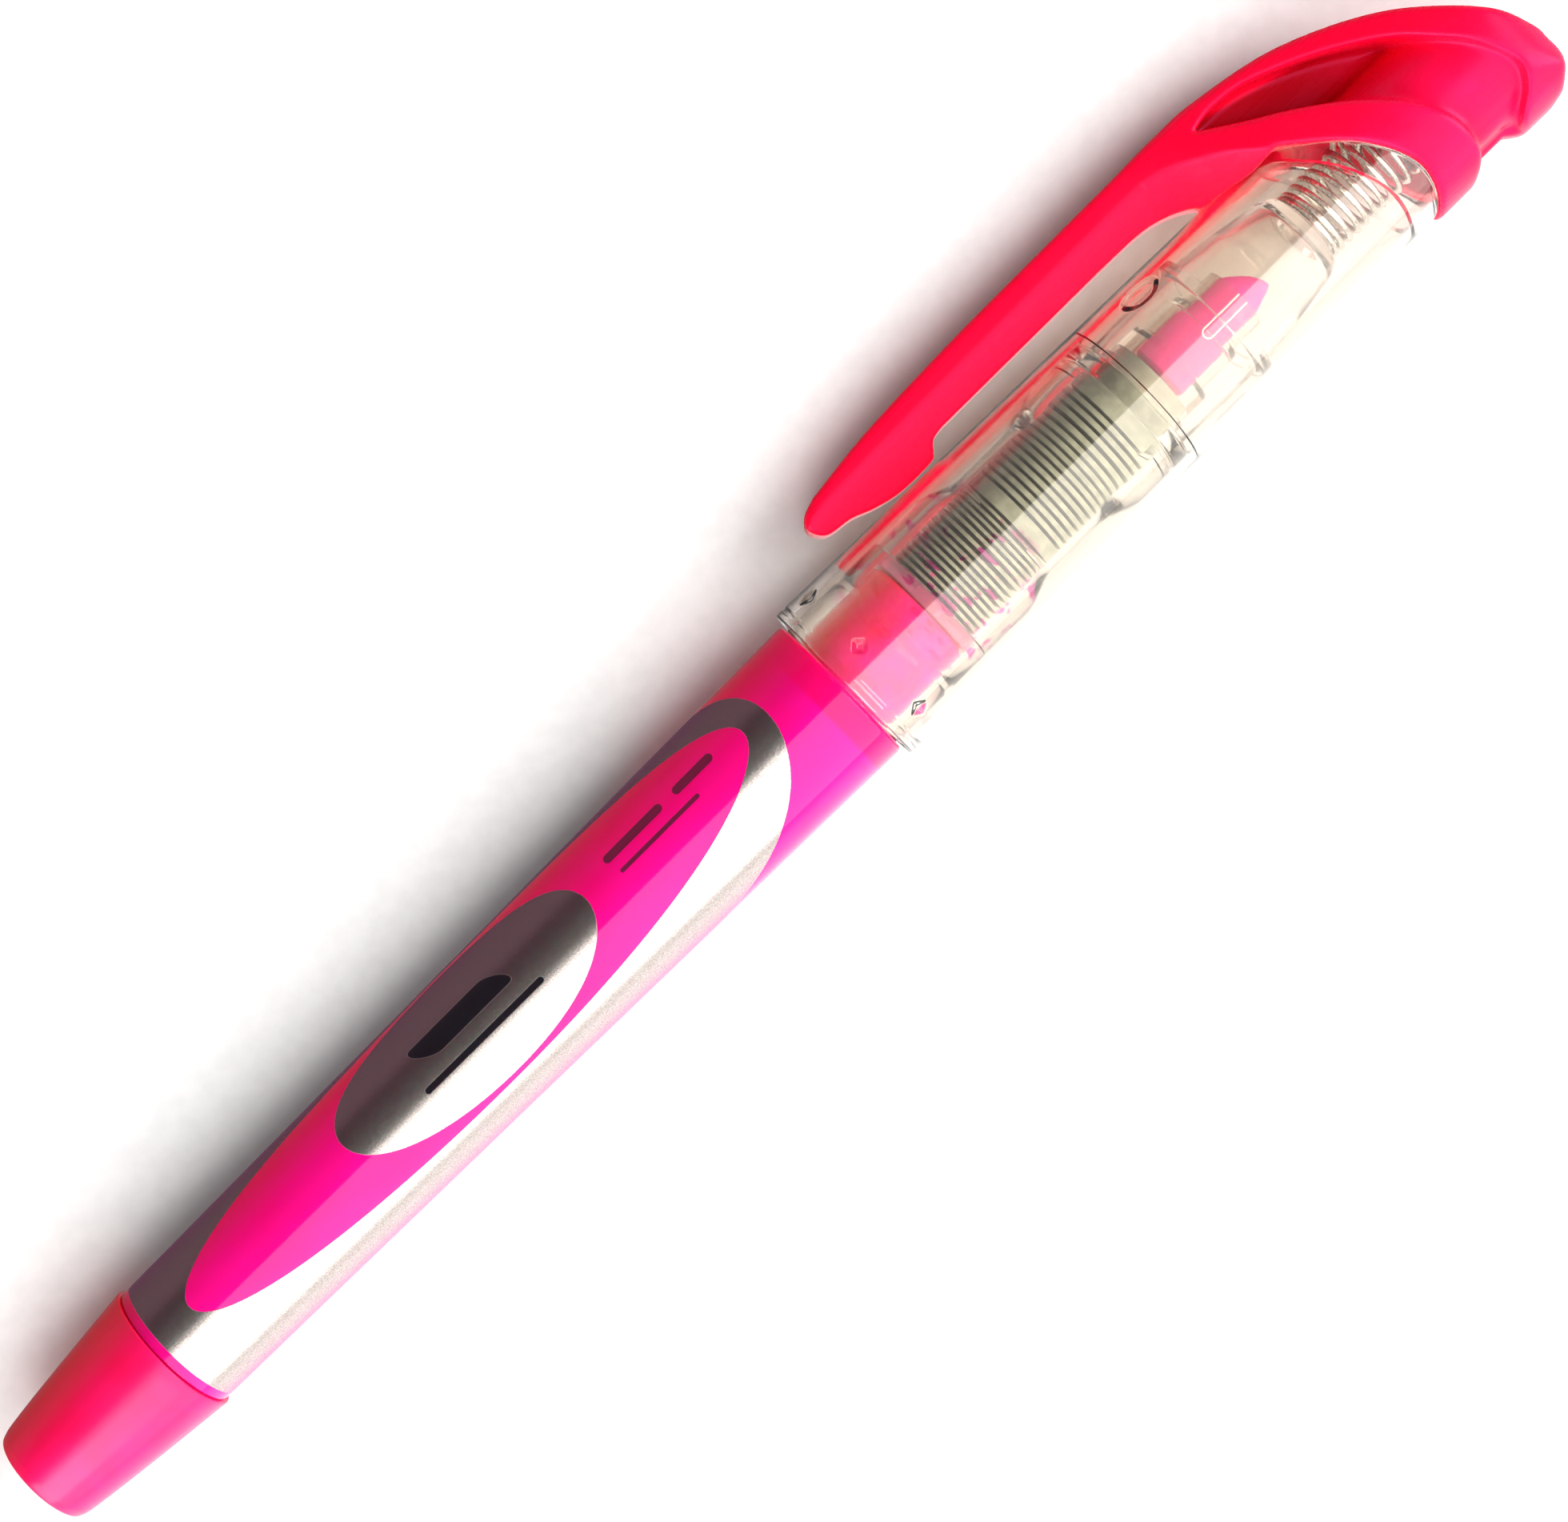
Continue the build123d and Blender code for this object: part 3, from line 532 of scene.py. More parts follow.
def make_comb():
    """The collector: two packs of fins, cut by a capillary slot, and a solid nose with a notch."""
    outline = [(COMB_START, COMB_BORE_R), (COMB_START, FIN_R)]
    first = COMB_START + 0.1
    for pitch, lead in FIN_PACKS:
        first += lead
        for _ in range(FINS_IN_PACK):
            outline += [(first, FIN_R), (first, FIN_ROOT_R),
                        (first + FIN_GAP, FIN_ROOT_R), (first + FIN_GAP, FIN_R)]
            first += pitch
    outline += [(COMB_SHOULDER, FIN_R), (COMB_SHOULDER, HOLDER_SEAT_R),
                (COMB_END, HOLDER_SEAT_R), (COMB_END, COMB_BORE_R)]
    comb = lathe("comb_collector", outline, fillet=0.0, segments=96, longest=40.0, sharp_over=30.0)
    slots = [box((COMB_START + 9.0, off, 0), (30.0, 1.5, 0.5)) for off in (3.3, -3.3)]
    notch = COMB_SHOULDER - 1.3
    notches = [box((notch, off, 0), (1.3, deep, 12.0)) for off, deep in ((-3.45, 1.3), (3.75, 0.8))]
    cut_away(comb, slots + notches)
    return comb


def cut_away(obj, cutters):
    """Exact booleans, applied, with the cutters removed afterwards."""
    for cutter in cutters:
        modifier = obj.modifiers.new("cut", "BOOLEAN")
        modifier.operation = "DIFFERENCE"
        modifier.solver = "EXACT"
        modifier.object = cutter
    graph = bpy.context.evaluated_depsgraph_get()
    graph.update()
    mesh = bpy.data.meshes.new_from_object(obj.evaluated_get(graph), depsgraph=graph)
    obj.modifiers.clear()
    obj.data = mesh
    for cutter in cutters:
        bpy.data.objects.remove(cutter, do_unlink=True)


def make_wick():
    start, end = span("feed_wick")
    return lathe("feed_wick_fibre", [(start, 0), (start, WICK_R), (end, WICK_R), (end, 0)],
                 fillet=0.15, segments=48)


def make_tip_holder():
    return lathe("tip_holder_clear", [
        (SECTION_END + 0.02, HOLDER_SEAT_R), (SECTION_END + 0.02, 3.93, 0.1), (108.6, 3.93, 0.15),
        (108.9, 3.6, 0.1), (111.2, 3.5, 0.2), (111.5, 2.95, 0.15), (114.8, 2.95, 0.2),
        (115.2, 2.5, 0.15), (HOLDER_END, 2.45, 0.25), (HOLDER_END, 1.85, 0.1), (114.25, 1.85),
        (114.25, 2.25), (109.52, 2.25), (109.52, HOLDER_SEAT_R),
    ], segments=128)


def make_holder_loop():
    """A fine raised loop on the upper side of the tip holder, round its air slot."""
    half, bead, sides = 0.38, 0.065, 10
    bend, end = 113.7 + half, HOLDER_END - 0.1
    loop = [(at, half) for at in np.linspace(end, bend, 30)]
    loop += [(bend - half * math.sin(angle), half * math.cos(angle))
             for angle in np.linspace(0, math.pi, 15)[1:-1]]
    loop += [(at, -half) for at in np.linspace(bend, end, 30)]
    loop = [(at, SLOT_OFF + c) for at, c in loop]
    points = []
    for index, (at, c) in enumerate(loop):
        before, after = loop[max(index - 1, 0)], loop[min(index + 1, len(loop) - 1)]
        run = math.dist(before, after)
        across_at, across_c = -(after[1] - before[1]) / run, (after[0] - before[0]) / run
        r = float(np.interp(at, (114.85, 115.15), (2.97, 2.52)))
        for cos, sin in circle(sides):
            aside = bead * sin
            where = (at + across_at * aside, c + across_c * aside)
            points.append((*where, math.sqrt(max(r * r - where[1] ** 2, 0.1)) + bead * cos))
    return new_object("holder_loop", points, skin(len(loop), sides), sharp_over=60)


def make_tip():
    """Fibre tip: a round shank, then a slimmer nib, worn to a round point below the axis."""
    rings = [*TIP_SHANK, *((at, high, low, TIP_HALF_THICK * math.sqrt((high - low) / TIP_DEEP))
                           for at, high, low in TIP_NOSE)]
    segments = 64
    points = [(at, (high + low) / 2 + (high - low) / 2 * cos, thick * sin)
              for at, high, low, thick in rings for cos, sin in circle(segments)]
    return new_object("chisel_tip_fibre", points, skin(len(rings), segments), sharp_over=50)


TUBE_END = 132.0            # nominal end, before the slant is put in
WARP_FROM = 116.0
TUBE_STEP = 107.9           # where the bore steps in
SNAP_AT, SNAP_COUNT, SNAP_TURN = 81.6, 6, 20
STOP_AT, STOP_COUNT, STOP_TURN = 112.6, 2, 33
BUMP_RISE = 0.3


def tube_bumps(at, degrees_from_clip, r):
    """How far the bore stands in at a place: diamond snap bumps and oval blisters."""
    def across(first, number, count):
        off = (degrees_from_clip - first - number * 360 / count + 180) % 360 - 180
        return abs(math.radians(off) * r)

    rise = 0.0
    for number in range(SNAP_COUNT):
        share = 1 - abs(at - SNAP_AT) / 0.8 - across(SNAP_TURN, number, SNAP_COUNT) / 0.8
        rise = max(rise, BUMP_RISE * min(1.0, 1.6 * share))
    for number in range(STOP_COUNT):
        off = across(STOP_TURN, number, STOP_COUNT)
        share = 1 - ((at - STOP_AT) / 1.6) ** 2 - (off / 1.05) ** 2
        rise = max(rise, BUMP_RISE * min(1.0, 2.2 * max(share, 0.0)))
    return rise


def tube_bore(at):
    """Bore radius of the clear tube at a station."""
    if at < TUBE_STEP:
        return 6.05 + (5.62 - 6.05) * (at - MOUTH) / (TUBE_STEP - MOUTH)
    return 5.45 + (5.17 - 5.45) * (at - TUBE_STEP) / (134.0 - TUBE_STEP)


def make_cap_tube():
    """Clear tube with a lip, a stop step, inward bumps and a slanted head end."""
    def run(start, end, step, wall=tube_bore):
        return [(at, wall(at), 0) for at in np.arange(start, end, step)]

    inner = run(80.4, 83.0, 0.15) + run(86.0, 107.0, 3.0)
    inner += [(at, tube_bore(at), 0.06) for at in (TUBE_STEP - 0.05, TUBE_STEP + 0.05)]
    inner += run(110.8, 114.5, 0.15) + run(116.0, 129.0, 1.0)
    inner += [(129.3, tube_bore(129.3), 0.12), (129.55, tube_bore(129.3) - 0.3, 0.12),
              (TUBE_END, tube_bore(TUBE_END) - 0.32, 0.15)]
    outer = [(TUBE_END, cap_r(TUBE_END), 0.15)] + run(TUBE_END - 0.8, 84.0, -0.8, cap_r)
    outer += [(80.1, cap_r(80.1), 0.1), (79.95, cap_r(79.9) - 0.07, 0.08),
              (79.8, cap_r(79.8) - 0.07, 0.08), (79.65, cap_r(79.6), 0.1),
              (MOUTH, MOUTH_R - 0.03, 0.18), (MOUTH, 6.12, 0.12), (MOUTH + 0.35, 6.05, 0.1)]
    tube = lathe("cap_tube_clear", inner + outer, fillet=0.0, segments=240, longest=50.0,
                 sharp_over=50)
    slant_y, slant_at = zip(*sorted((y, at) for at, y in curve(CUT)))
    for vertex in tube.data.vertices:
        at, c, u = to_pen(vertex.co)
        r = math.hypot(c, u)
        if r < tube_bore(min(at, 133.0)) + 0.02 and (at < 84 or 110 < at < 115):
            turn = math.degrees(math.atan2(u, c))
            shrink = (r - tube_bumps(at, turn, r)) / r
            c, u = c * shrink, u * shrink
        if at > WARP_FROM:
            share = (at - WARP_FROM) / (TUBE_END - WARP_FROM)
            end = float(np.interp(c, slant_y, slant_at)) - 0.02
            moved = WARP_FROM + (end - WARP_FROM) * share
            moved = at + (moved - at) * share ** 2 * (3 - 2 * share)
            shrink = 1 + CAP_SLOPE * (at - moved) / r
            at, c, u = moved, c * shrink, u * shrink
        vertex.co = place(at, c, u)
    tube.data.update()
    return tube


def to_pen(point):
    """Pen coordinates, mm, of a world position."""
    away = (Vector(point) - ORIGIN) / MM
    return away.dot(ALONG), away.dot(CLIPWARD), away.dot(UPPER)


def make_inner_cap():
    return lathe("inner_cap_clear", [
        (INNER_MOUTH, 4.12, 0.1), (INNER_MOUTH, 4.65, 0.15), (115.0, 4.65, 0.1),
        (115.0, INNER_FLANGE_R, 0.12), (115.9, INNER_FLANGE_R, 0.15), (115.9, 4.7, 0.2),
        (119.5, 4.28, 4.0), (123.4, 3.65, 1.0), (124.4, 3.1, 0.5), (124.4, 2.05, 0.1),
        (INNER_END, 2.0, 0.35), (INNER_END, 0), (123.6, 0), (123.5, 2.6, 0.8), (119.5, 3.72, 4.0),
        (115.7, 4.1, 0.5),
    ], segments=128, longest=2.0)


def make_spring():
    """Coil spring with ground, closed ends, as a swept wire."""
    coil = COIL_OUT_R - WIRE_R
    turns, per_turn, sides = 14, 48, 12
    count = turns * per_turn
    gaps = []
    for step in range(count + 1):
        t = step / per_turn
        gaps.append(0.47 + 0.5 * min(1.0, max(0.0, min(t, turns - t) - 0.6) / 0.8))
    span = (SPRING_END - SPRING_START - 2 * WIRE_R) / sum(gaps)
    points = []
    done = 0.0
    for step in range(count + 1):
        angle = 2 * math.pi * step / per_turn
        at = SPRING_START + WIRE_R + span * done
        done += gaps[step]
        for cos, sin in circle(sides):
            r = coil + WIRE_R * cos
            points.append((at + WIRE_R * sin, math.cos(angle) * r, math.sin(angle) * r))
    return new_object("cap_spring_wire", points, skin(count + 1, sides), sharp_over=50)


# ---- material helpers ----
class Nodes:
    """A node tree with short ways to add maths and noise."""

    def __init__(self, tree):
        self.tree = tree

    def node(self, kind, **settings):
        made = self.tree.nodes.new(kind)
        for name, value in settings.items():
            setattr(made, name, value)
        return made

    def feed(self, target, value):
        """Link another socket to this one, or set it to a plain value."""
        if isinstance(value, bpy.types.NodeSocket):
            self.tree.links.new(value, target)
        else:
            target.default_value = value

    def maths(self, operation, a, b=0.0, c=0.0):
        made = self.node("ShaderNodeMath", operation=operation)
        for socket, value in zip(made.inputs, (a, b, c)):
            self.feed(socket, value)
        return made.outputs[0]

    def plus(self, a, b):
        return self.maths("ADD", a, b)

    def minus(self, a, b):
        return self.maths("SUBTRACT", a, b)

    def times(self, a, b):
        return self.maths("MULTIPLY", a, b)

    def length(self, a, b):
        return self.maths("SQRT", self.plus(self.times(a, a), self.times(b, b)))

    def along(self, vector, axis):
        """How far a vector reaches along an axis."""
        dot = self.node("ShaderNodeVectorMath", operation="DOT_PRODUCT")
        self.feed(dot.inputs[0], vector)
        dot.inputs[1].default_value = tuple(axis)
        return dot.outputs["Value"]

    def ramp(self, value, low, high, to_low=0.0, to_high=1.0):
        made = self.node("ShaderNodeMapRange", interpolation_type="SMOOTHSTEP")
        for socket, given in zip(made.inputs, (value, low, high, to_low, to_high)):
            self.feed(socket, given)
        return made.outputs[0]


class Finish(Nodes):
    """A material of one Principled shader. Socket names are given with _ for each space."""

    def __init__(self, name, **sockets):
        self.material = bpy.data.materials.new(name)
        self.material.use_nodes = True
        super().__init__(self.material.node_tree)
        self.shader = self.tree.nodes["Principled BSDF"]
        self.give(**sockets)

    def give(self, **sockets):
        for name, value in sockets.items():
            self.feed(self.shader.inputs[name.replace("_", " ")], value)

    def mix(self, factor, a, b):
        """Between two colours, each a socket or three numbers."""
        made = self.node("ShaderNodeMix", data_type="RGBA")
        for socket, value in ((0, factor), (6, a), (7, b)):
            self.feed(made.inputs[socket], (*value, 1) if isinstance(value, tuple) else value)
        return made.outputs[2]

    def pen_place(self):
        """Sockets for the station, the distance clipward and the distance to the upper side, mm."""
        spot = self.node("ShaderNodeTexCoord").outputs["Object"]
        return [self.minus(self.along(spot, axis / MM), ORIGIN.dot(axis) / MM)
                for axis in (ALONG, CLIPWARD, UPPER)]

    def noise(self, scale, detail=3.0, stretch=(1, 1, 1), roughness=0.5):
        """Noise in pen coordinates: scale is features per mm."""
        joined = self.node("ShaderNodeCombineXYZ")
        for socket, value, factor in zip(joined.inputs, self.pen_place(), stretch):
            self.feed(socket, self.times(value, factor))
        made = self.node("ShaderNodeTexNoise")
        self.feed(made.inputs["Vector"], joined.outputs[0])
        for name, value in (("Scale", scale), ("Detail", detail), ("Roughness", roughness)):
            made.inputs[name].default_value = value
        return made.outputs[0]

    def cloud(self, *noise, low=0.3, **more):
        """Soft patches of 0 and 1."""
        return self.ramp(self.noise(*noise, **more), low, 1.0 - low)

    def scuffs(self):
        """Fine marks along the pen."""
        return self.noise(2.2, 4.0, stretch=(0.12, 2.2, 2.2))

    def bump(self, height, strength, distance):
        """Raise the surface by a height, over a distance in mm."""
        made = self.node("ShaderNodeBump")
        made.inputs["Strength"].default_value = strength
        made.inputs["Distance"].default_value = distance * MM
        self.feed(made.inputs["Height"], height)
        self.give(Normal=made.outputs[0])

    def wear(self, rough_low, rough_high, peel=0.25, scuff=0.5):
        """Fine moulded surface: faint orange peel, lengthwise scuffs and uneven gloss."""
        scuffs = self.scuffs()
        gloss = self.plus(self.times(scuffs, 0.6), self.times(self.noise(0.35, 2.0), 0.4))
        self.give(Roughness=self.ramp(gloss, 0.35, 0.7, rough_low, rough_high))
        peeled = self.times(self.noise(9.0, 2.0), peel)
        self.bump(self.plus(peeled, self.times(scuffs, scuff)), 0.25, 0.02)

    def lets_lamps_through(self, tint):
        """Lamps reach what is behind the clear plastic."""
        through = self.node("ShaderNodeBsdfTransparent")
        through.inputs[0].default_value = (*tint, 1)
        join = self.node("ShaderNodeMixShader")
        shadow = self.node("ShaderNodeLightPath").outputs["Is Shadow Ray"]
        for socket, value in zip(join.inputs, (shadow, self.shader.outputs[0], through.outputs[0])):
            self.feed(socket, value)
        self.feed(self.tree.nodes["Material Output"].inputs["Surface"], join.outputs[0])


SKIN_DEEP = (1.0, 0.05, 0.15)   # how far red, green and blue travel in the pink plastic


def clip_side(finish, low, high):
    """1 on the side of the pen that faces the clip, 0 on the far side: the mask for painted shade
    on that side. Bounds are in degrees.
    """
    _, clipward, upper = finish.pen_place()
    turn = finish.maths("ARCTAN2", clipward, upper)
    return finish.ramp(turn, math.radians(low), math.radians(high))


def hot_plastic(name, one, other, clip_side_shade, rough, gloss, coat=0.0, recess=None):
    """Opaque fluorescent plastic: light soaks in a little and the sheen takes its colour.

    The colour given after the two pinks is painted shade on the side facing the clip; recess is
    painted shade between the arch and the core.
    """
    finish = Finish(name, Subsurface_Weight=0.15, Subsurface_Scale=0.0015, IOR=1.5,
                    Subsurface_Radius=SKIN_DEEP, Specular_Tint=(*gloss, 1),
                    Coat_Weight=coat, Coat_Roughness=0.2)
    colour = finish.mix(finish.cloud(0.25, low=0.35), one, other)
    # painted shade: the side facing the clip takes a redder, darker colour
    colour = finish.mix(clip_side(finish, -20, 65), colour, clip_side_shade)
    # painted shade: the recess between the arch and the core is darkened
    if recess:
        at, clipward, upper = finish.pen_place()
        deep = finish.ramp(finish.maths("ABSOLUTE", upper), 2.8, 1.3)
        arch = finish.plus(clipward, finish.times(finish.minus(at, CORE_FROM), 0.27))
        for value, low, high in ((at, 122.4, 124.4), (at, 140.0, 130.0), (arch, 10.9, 10.4),
                                 (clipward, 3.0, 4.5)):
            deep = finish.times(deep, finish.ramp(value, low, high))
        colour = finish.mix(deep, colour, recess)
    finish.give(Base_Color=colour)
    finish.wear(*rough, scuff=0.12)
    return finish.material


PRINT_START = BARREL_START + 0.75
PRINT_TIP, PRINT_TIP_TURN, PRINT_FALL = 73.9, 22.6, 0.0011
PRINT_SOFT = 0.03           # half-width in mm of the print's edge
BARE_OVAL = dict(centre=44.4, half=27.4, turn_to=19.2, drift=0.208, spread=57.0)
SILVER_OVAL = dict(centre=44.2, half=11.9, turn_to=19.5, drift=0.0, spread=53.0)


def barrel_plastic():
    """Translucent magenta barrel with a satin silver print: a wrap with an oval window,
    an oval badge with a plain pictogram, and three bars in place of lettering."""
    finish = Finish("barrel_plastic", IOR=1.5, Subsurface_Weight=0.5, Subsurface_Scale=0.003,
                    Subsurface_Radius=SKIN_DEEP, Specular_Tint=(1.0, 0.30, 0.75, 1),
                    Coat_Weight=0.5, Coat_Roughness=0.04)
    plus, minus, times = finish.plus, finish.minus, finish.times
    at, clipward, upper = finish.pen_place()
    # angle from the upper side towards the clip, degrees
    turn = times(finish.maths("ARCTAN2", clipward, upper), 180 / math.pi)
    ragged = times(minus(finish.noise(6.0, 2.0), 0.5), 0.10)

    def printed(depth):
        """1 where a depth in mm is inside the print, with a slightly ragged edge."""
        return finish.ramp(plus(depth, ragged), -PRINT_SOFT, PRINT_SOFT)

    def oval(centre, half, turn_to, drift, spread):
        """1 inside an oval on the barrel. It is spread degrees high and drifts round the barrel."""
        middle = plus(times(minus(at, centre), drift), turn_to)
        round_it = finish.maths("DIVIDE", minus(turn, middle), spread)
        along = finish.maths("DIVIDE", minus(at, centre), half)
        return printed(times(minus(1.0, finish.length(along, round_it)), half))

    def bar(centre, half, turn_to, half_turn, slant=0.0):
        """1 inside a bar with rounded ends. half_turn is in degrees round the barrel."""
        per_degree = 0.1
        leaned = plus(at, times(minus(turn, turn_to), slant))
        past_end = minus(finish.maths("ABSOLUTE", minus(leaned, centre)), half)
        size = finish.length(finish.maths("MAXIMUM", past_end, 0.0),
                             times(minus(turn, turn_to), per_degree))
        edge = half_turn * per_degree
        return finish.ramp(size, edge - 0.04, edge + 0.04, 1.0, 0.0)

    def together(first, *others):
        for other in others:
            first = finish.maths("MAXIMUM", first, other)
        return first

    away = minus(turn, PRINT_TIP_TURN)
    front = minus(PRINT_TIP, times(times(away, away), PRINT_FALL))
    wrap = times(printed(minus(front, at)),
                 finish.ramp(at, PRINT_START - PRINT_SOFT, PRINT_START + PRINT_SOFT))
    silver = together(times(wrap, minus(1.0, oval(**BARE_OVAL))), oval(**SILVER_OVAL))
    sign = together(bar(44.2, 3.2, 25.0, 9.0, slant=0.10), bar(44.6, 5.4, 2.0, 2.6))
    words = together(bar(61.5, 2.4, 30.0, 3.6), bar(67.3, 1.5, 30.0, 3.6),
                     bar(62.9, 3.6, 16.0, 1.7))

    # the section's spigot shows through the barrel's front end as a redder band
    deep = finish.ramp(at, SPIGOT_START + 1.6, SPIGOT_START + 2.0)
    cloud = finish.cloud(0.22, stretch=(0.5, 1, 1))
    pink = finish.mix(cloud, (0.95, 0.003, 0.25), (0.97, 0.004, 0.30))
    # painted shade: the pink is redder and darker on the clip's side
    pink = finish.mix(times(clip_side(finish, -15, 75), 0.85), pink, (0.93, 0.001, 0.03))
    pink = finish.mix(times(deep, 0.6), pink, (0.92, 0.001, 0.10))
    flakes = finish.noise(9.0, 2.0, roughness=0.8)
    metal = finish.mix(finish.ramp(flakes, 0.3, 0.7), (0.56, 0.48, 0.46), (0.84, 0.79, 0.74))
    # painted reflection and shade: the print is tinted pink and darker on the clip's side
    metal = finish.mix(times(clip_side(finish, 0, 28), 0.7), metal, (0.50, 0.17, 0.27))
    colour = finish.mix(silver, pink, metal)
    colour = finish.mix(sign, colour, (0.012, 0.010, 0.014))
    colour = finish.mix(times(words, 0.92), colour, (0.10, 0.012, 0.035))
    metal_only = times(silver, minus(1.0, sign))
    scuffs = finish.scuffs()
    rough = plus(plus(0.05, times(metal_only, 0.15)), times(scuffs, 0.08))
    finish.give(Base_Color=colour, Metallic=times(metal_only, 0.94), Roughness=rough)
    film, grainy = times(silver, 0.6), times(times(flakes, silver), 0.35)
    finish.bump(plus(plus(film, grainy), times(scuffs, 0.15)), 0.35, 0.02)
    return finish.material


def clear_plastic(name, tint, rough_low, rough_high, haze=0.0, ior=1.36, coat=0.0, splashed=None):
    """Clear plastic. splashed gives the stations between which ink has dried on it in spots."""
    finish = Finish(name, Transmission_Weight=1.0 - haze, IOR=ior,
                    Coat_Weight=coat, Coat_Roughness=0.02)
    paler = tuple(min(1, part * 1.02) for part in tint)
    colour = finish.mix(finish.cloud(0.3, stretch=(0.4, 1, 1)), tint, paler)
    if splashed:
        first, last = splashed
        at = finish.pen_place()[0]
        spots = finish.ramp(finish.noise(0.55, 4.0, stretch=(1.6, 0.8, 0.8)), 0.60, 0.63)
        within = finish.times(finish.ramp(at, first - 1, first + 1),
                              finish.ramp(at, last - 2, last + 2, 1.0, 0.0))
        colour = finish.mix(finish.times(spots, within), colour, (0.93, 0.02, 0.42))
    finish.give(Base_Color=colour)
    finish.wear(rough_low, rough_high, peel=0.1)
    finish.lets_lamps_through([part ** 0.5 for part in tint])
    return finish.material


def ink_liquid():
    finish = Finish("ink", IOR=1.2, Subsurface_Weight=0.3, Subsurface_Scale=0.003)
    swirl = finish.cloud(0.5, 4.0)
    colour = finish.mix(swirl, (0.88, 0.003, 0.20), (0.95, 0.010, 0.36))
    # painted shade: the ink is deeper red on the clip's side
    colour = finish.mix(clip_side(finish, -10, 60), colour, (0.78, 0.0003, 0.008))
    finish.give(Base_Color=colour, Roughness=finish.ramp(swirl, 0.0, 1.0, 0.08, 0.2))
    return finish.material


def comb_plastic():
    """Pale grey-green plastic, shaded on the clip's side and stained by ink at its rear."""
    finish = Finish("comb_plastic", IOR=1.5)
    mottle = finish.cloud(1.4, 4.0)
    lit = finish.mix(mottle, (0.30, 0.34, 0.29), (0.42, 0.46, 0.40))
    shaded = finish.mix(mottle, (0.085, 0.095, 0.08), (0.14, 0.155, 0.13))
    colour = finish.mix(clip_side(finish, -5, 50), lit, shaded)
    stain = finish.ramp(finish.noise(0.9), 0.62, 0.72)
    at = finish.pen_place()[0]
    near_rear = finish.ramp(at, COMB_START + 1.0, COMB_START + 5.0, 1.0, 0.0)
    colour = finish.mix(finish.times(stain, near_rear), colour, (0.75, 0.01, 0.30))
    finish.give(Base_Color=colour)
    finish.wear(0.35, 0.55, peel=0.6)
    return finish.material


def ink_fibre(name, dark, light):
    """Pressed fibre soaked with ink."""
    finish = Finish(name, Subsurface_Weight=0.4, Subsurface_Scale=0.001,
                    Subsurface_Radius=(1.0, 0.4, 0.8))
    fibres = finish.noise(3.0, 5.0, stretch=(0.25, 3.0, 3.0), roughness=0.65)
    pores = finish.noise(14.0, 2.0)
    finish.give(Base_Color=finish.mix(finish.ramp(fibres, 0.3, 0.7), dark, light),
                Roughness=finish.ramp(pores, 0.3, 0.7, 0.55, 0.8))
    finish.bump(finish.plus(fibres, finish.times(pores, 0.5)), 0.5, 0.05)
    return finish.material


def spring_steel():
    finish = Finish("spring_steel", Metallic=1.0)
    drawn = finish.noise(5.0)
    colour = finish.mix(finish.ramp(drawn, 0.3, 0.7), (0.60, 0.57, 0.52), (0.80, 0.77, 0.72))
    finish.give(Base_Color=colour, Roughness=finish.ramp(drawn, 0.3, 0.7, 0.12, 0.28))
    return finish.material


def paper_floor():
    finish = Finish("paper_floor", Roughness=0.9)
    finish.give(Base_Color=finish.mix(finish.cloud(0.8), (0.61, 0.61, 0.61), (0.64, 0.64, 0.64)))
    return finish.material


# ---- camera, floor and light ----
VIEW_TURN = math.radians(44.66)     # how far the pen climbs to the right in the picture
VIEW_LEAN = math.radians(0.1)       # the camera leans a little towards the head
VIEW_AT = (72.4, -0.86)             # station and distance clipward at the picture's centre
VIEW_DISTANCE = 233.2               # mm
VIEW_ANGLE = math.radians(26.55)
SENSOR = 36.0
FLOOR_HALF = 1.5                    # m
ROOM_LIGHT, ROOM_DARK = 0.66, 0.04
TABLE_LIT, TABLE_SHADED = 2.1, 0.18     # in shares of ROOM_LIGHT
SEEN_THROUGH = 0.85                 # least share seen straight through the clear plastic


def set_pose(obj, location, axes):
    """Put an object at a place, with its own axes along three given ones."""
    obj.location = location
    obj.rotation_mode = "QUATERNION"
    obj.rotation_quaternion = Matrix(axes).transposed().to_quaternion()


def make_camera():
    data = bpy.data.cameras.new("camera")
    camera = linked("camera", data)
    data.sensor_width = SENSOR
    data.lens = SENSOR / 2 / math.tan(VIEW_ANGLE / 2)
    data.clip_start, data.clip_end = 0.01, 10.0
    toward = UPPER * math.cos(VIEW_LEAN) + ALONG * math.sin(VIEW_LEAN)
    along = ALONG * math.cos(VIEW_LEAN) - UPPER * math.sin(VIEW_LEAN)
    right = along * math.cos(VIEW_TURN) - CLIPWARD * math.sin(VIEW_TURN)
    set_pose(camera, place(*VIEW_AT) + toward * VIEW_DISTANCE * MM,
             (right, toward.cross(right), toward))
    bpy.context.scene.camera = camera


def area_light(name, direction, distance, size, watts, colour=(1, 1, 1)):
    """A soft light facing the pen's middle. size is its width along the pen and across it."""
    data = bpy.data.lights.new(name, "AREA")
    data.shape = "RECTANGLE"
    data.size, data.size_y = size
    data.energy = watts
    data.color = colour
    light = linked(name, data)
    direction = direction.normalized()
    side = ALONG - direction * ALONG.dot(direction)
    side.normalize()
    set_pose(light, place(LENGTH / 2) + direction * distance,
             (side, direction.cross(side), direction))
    return light


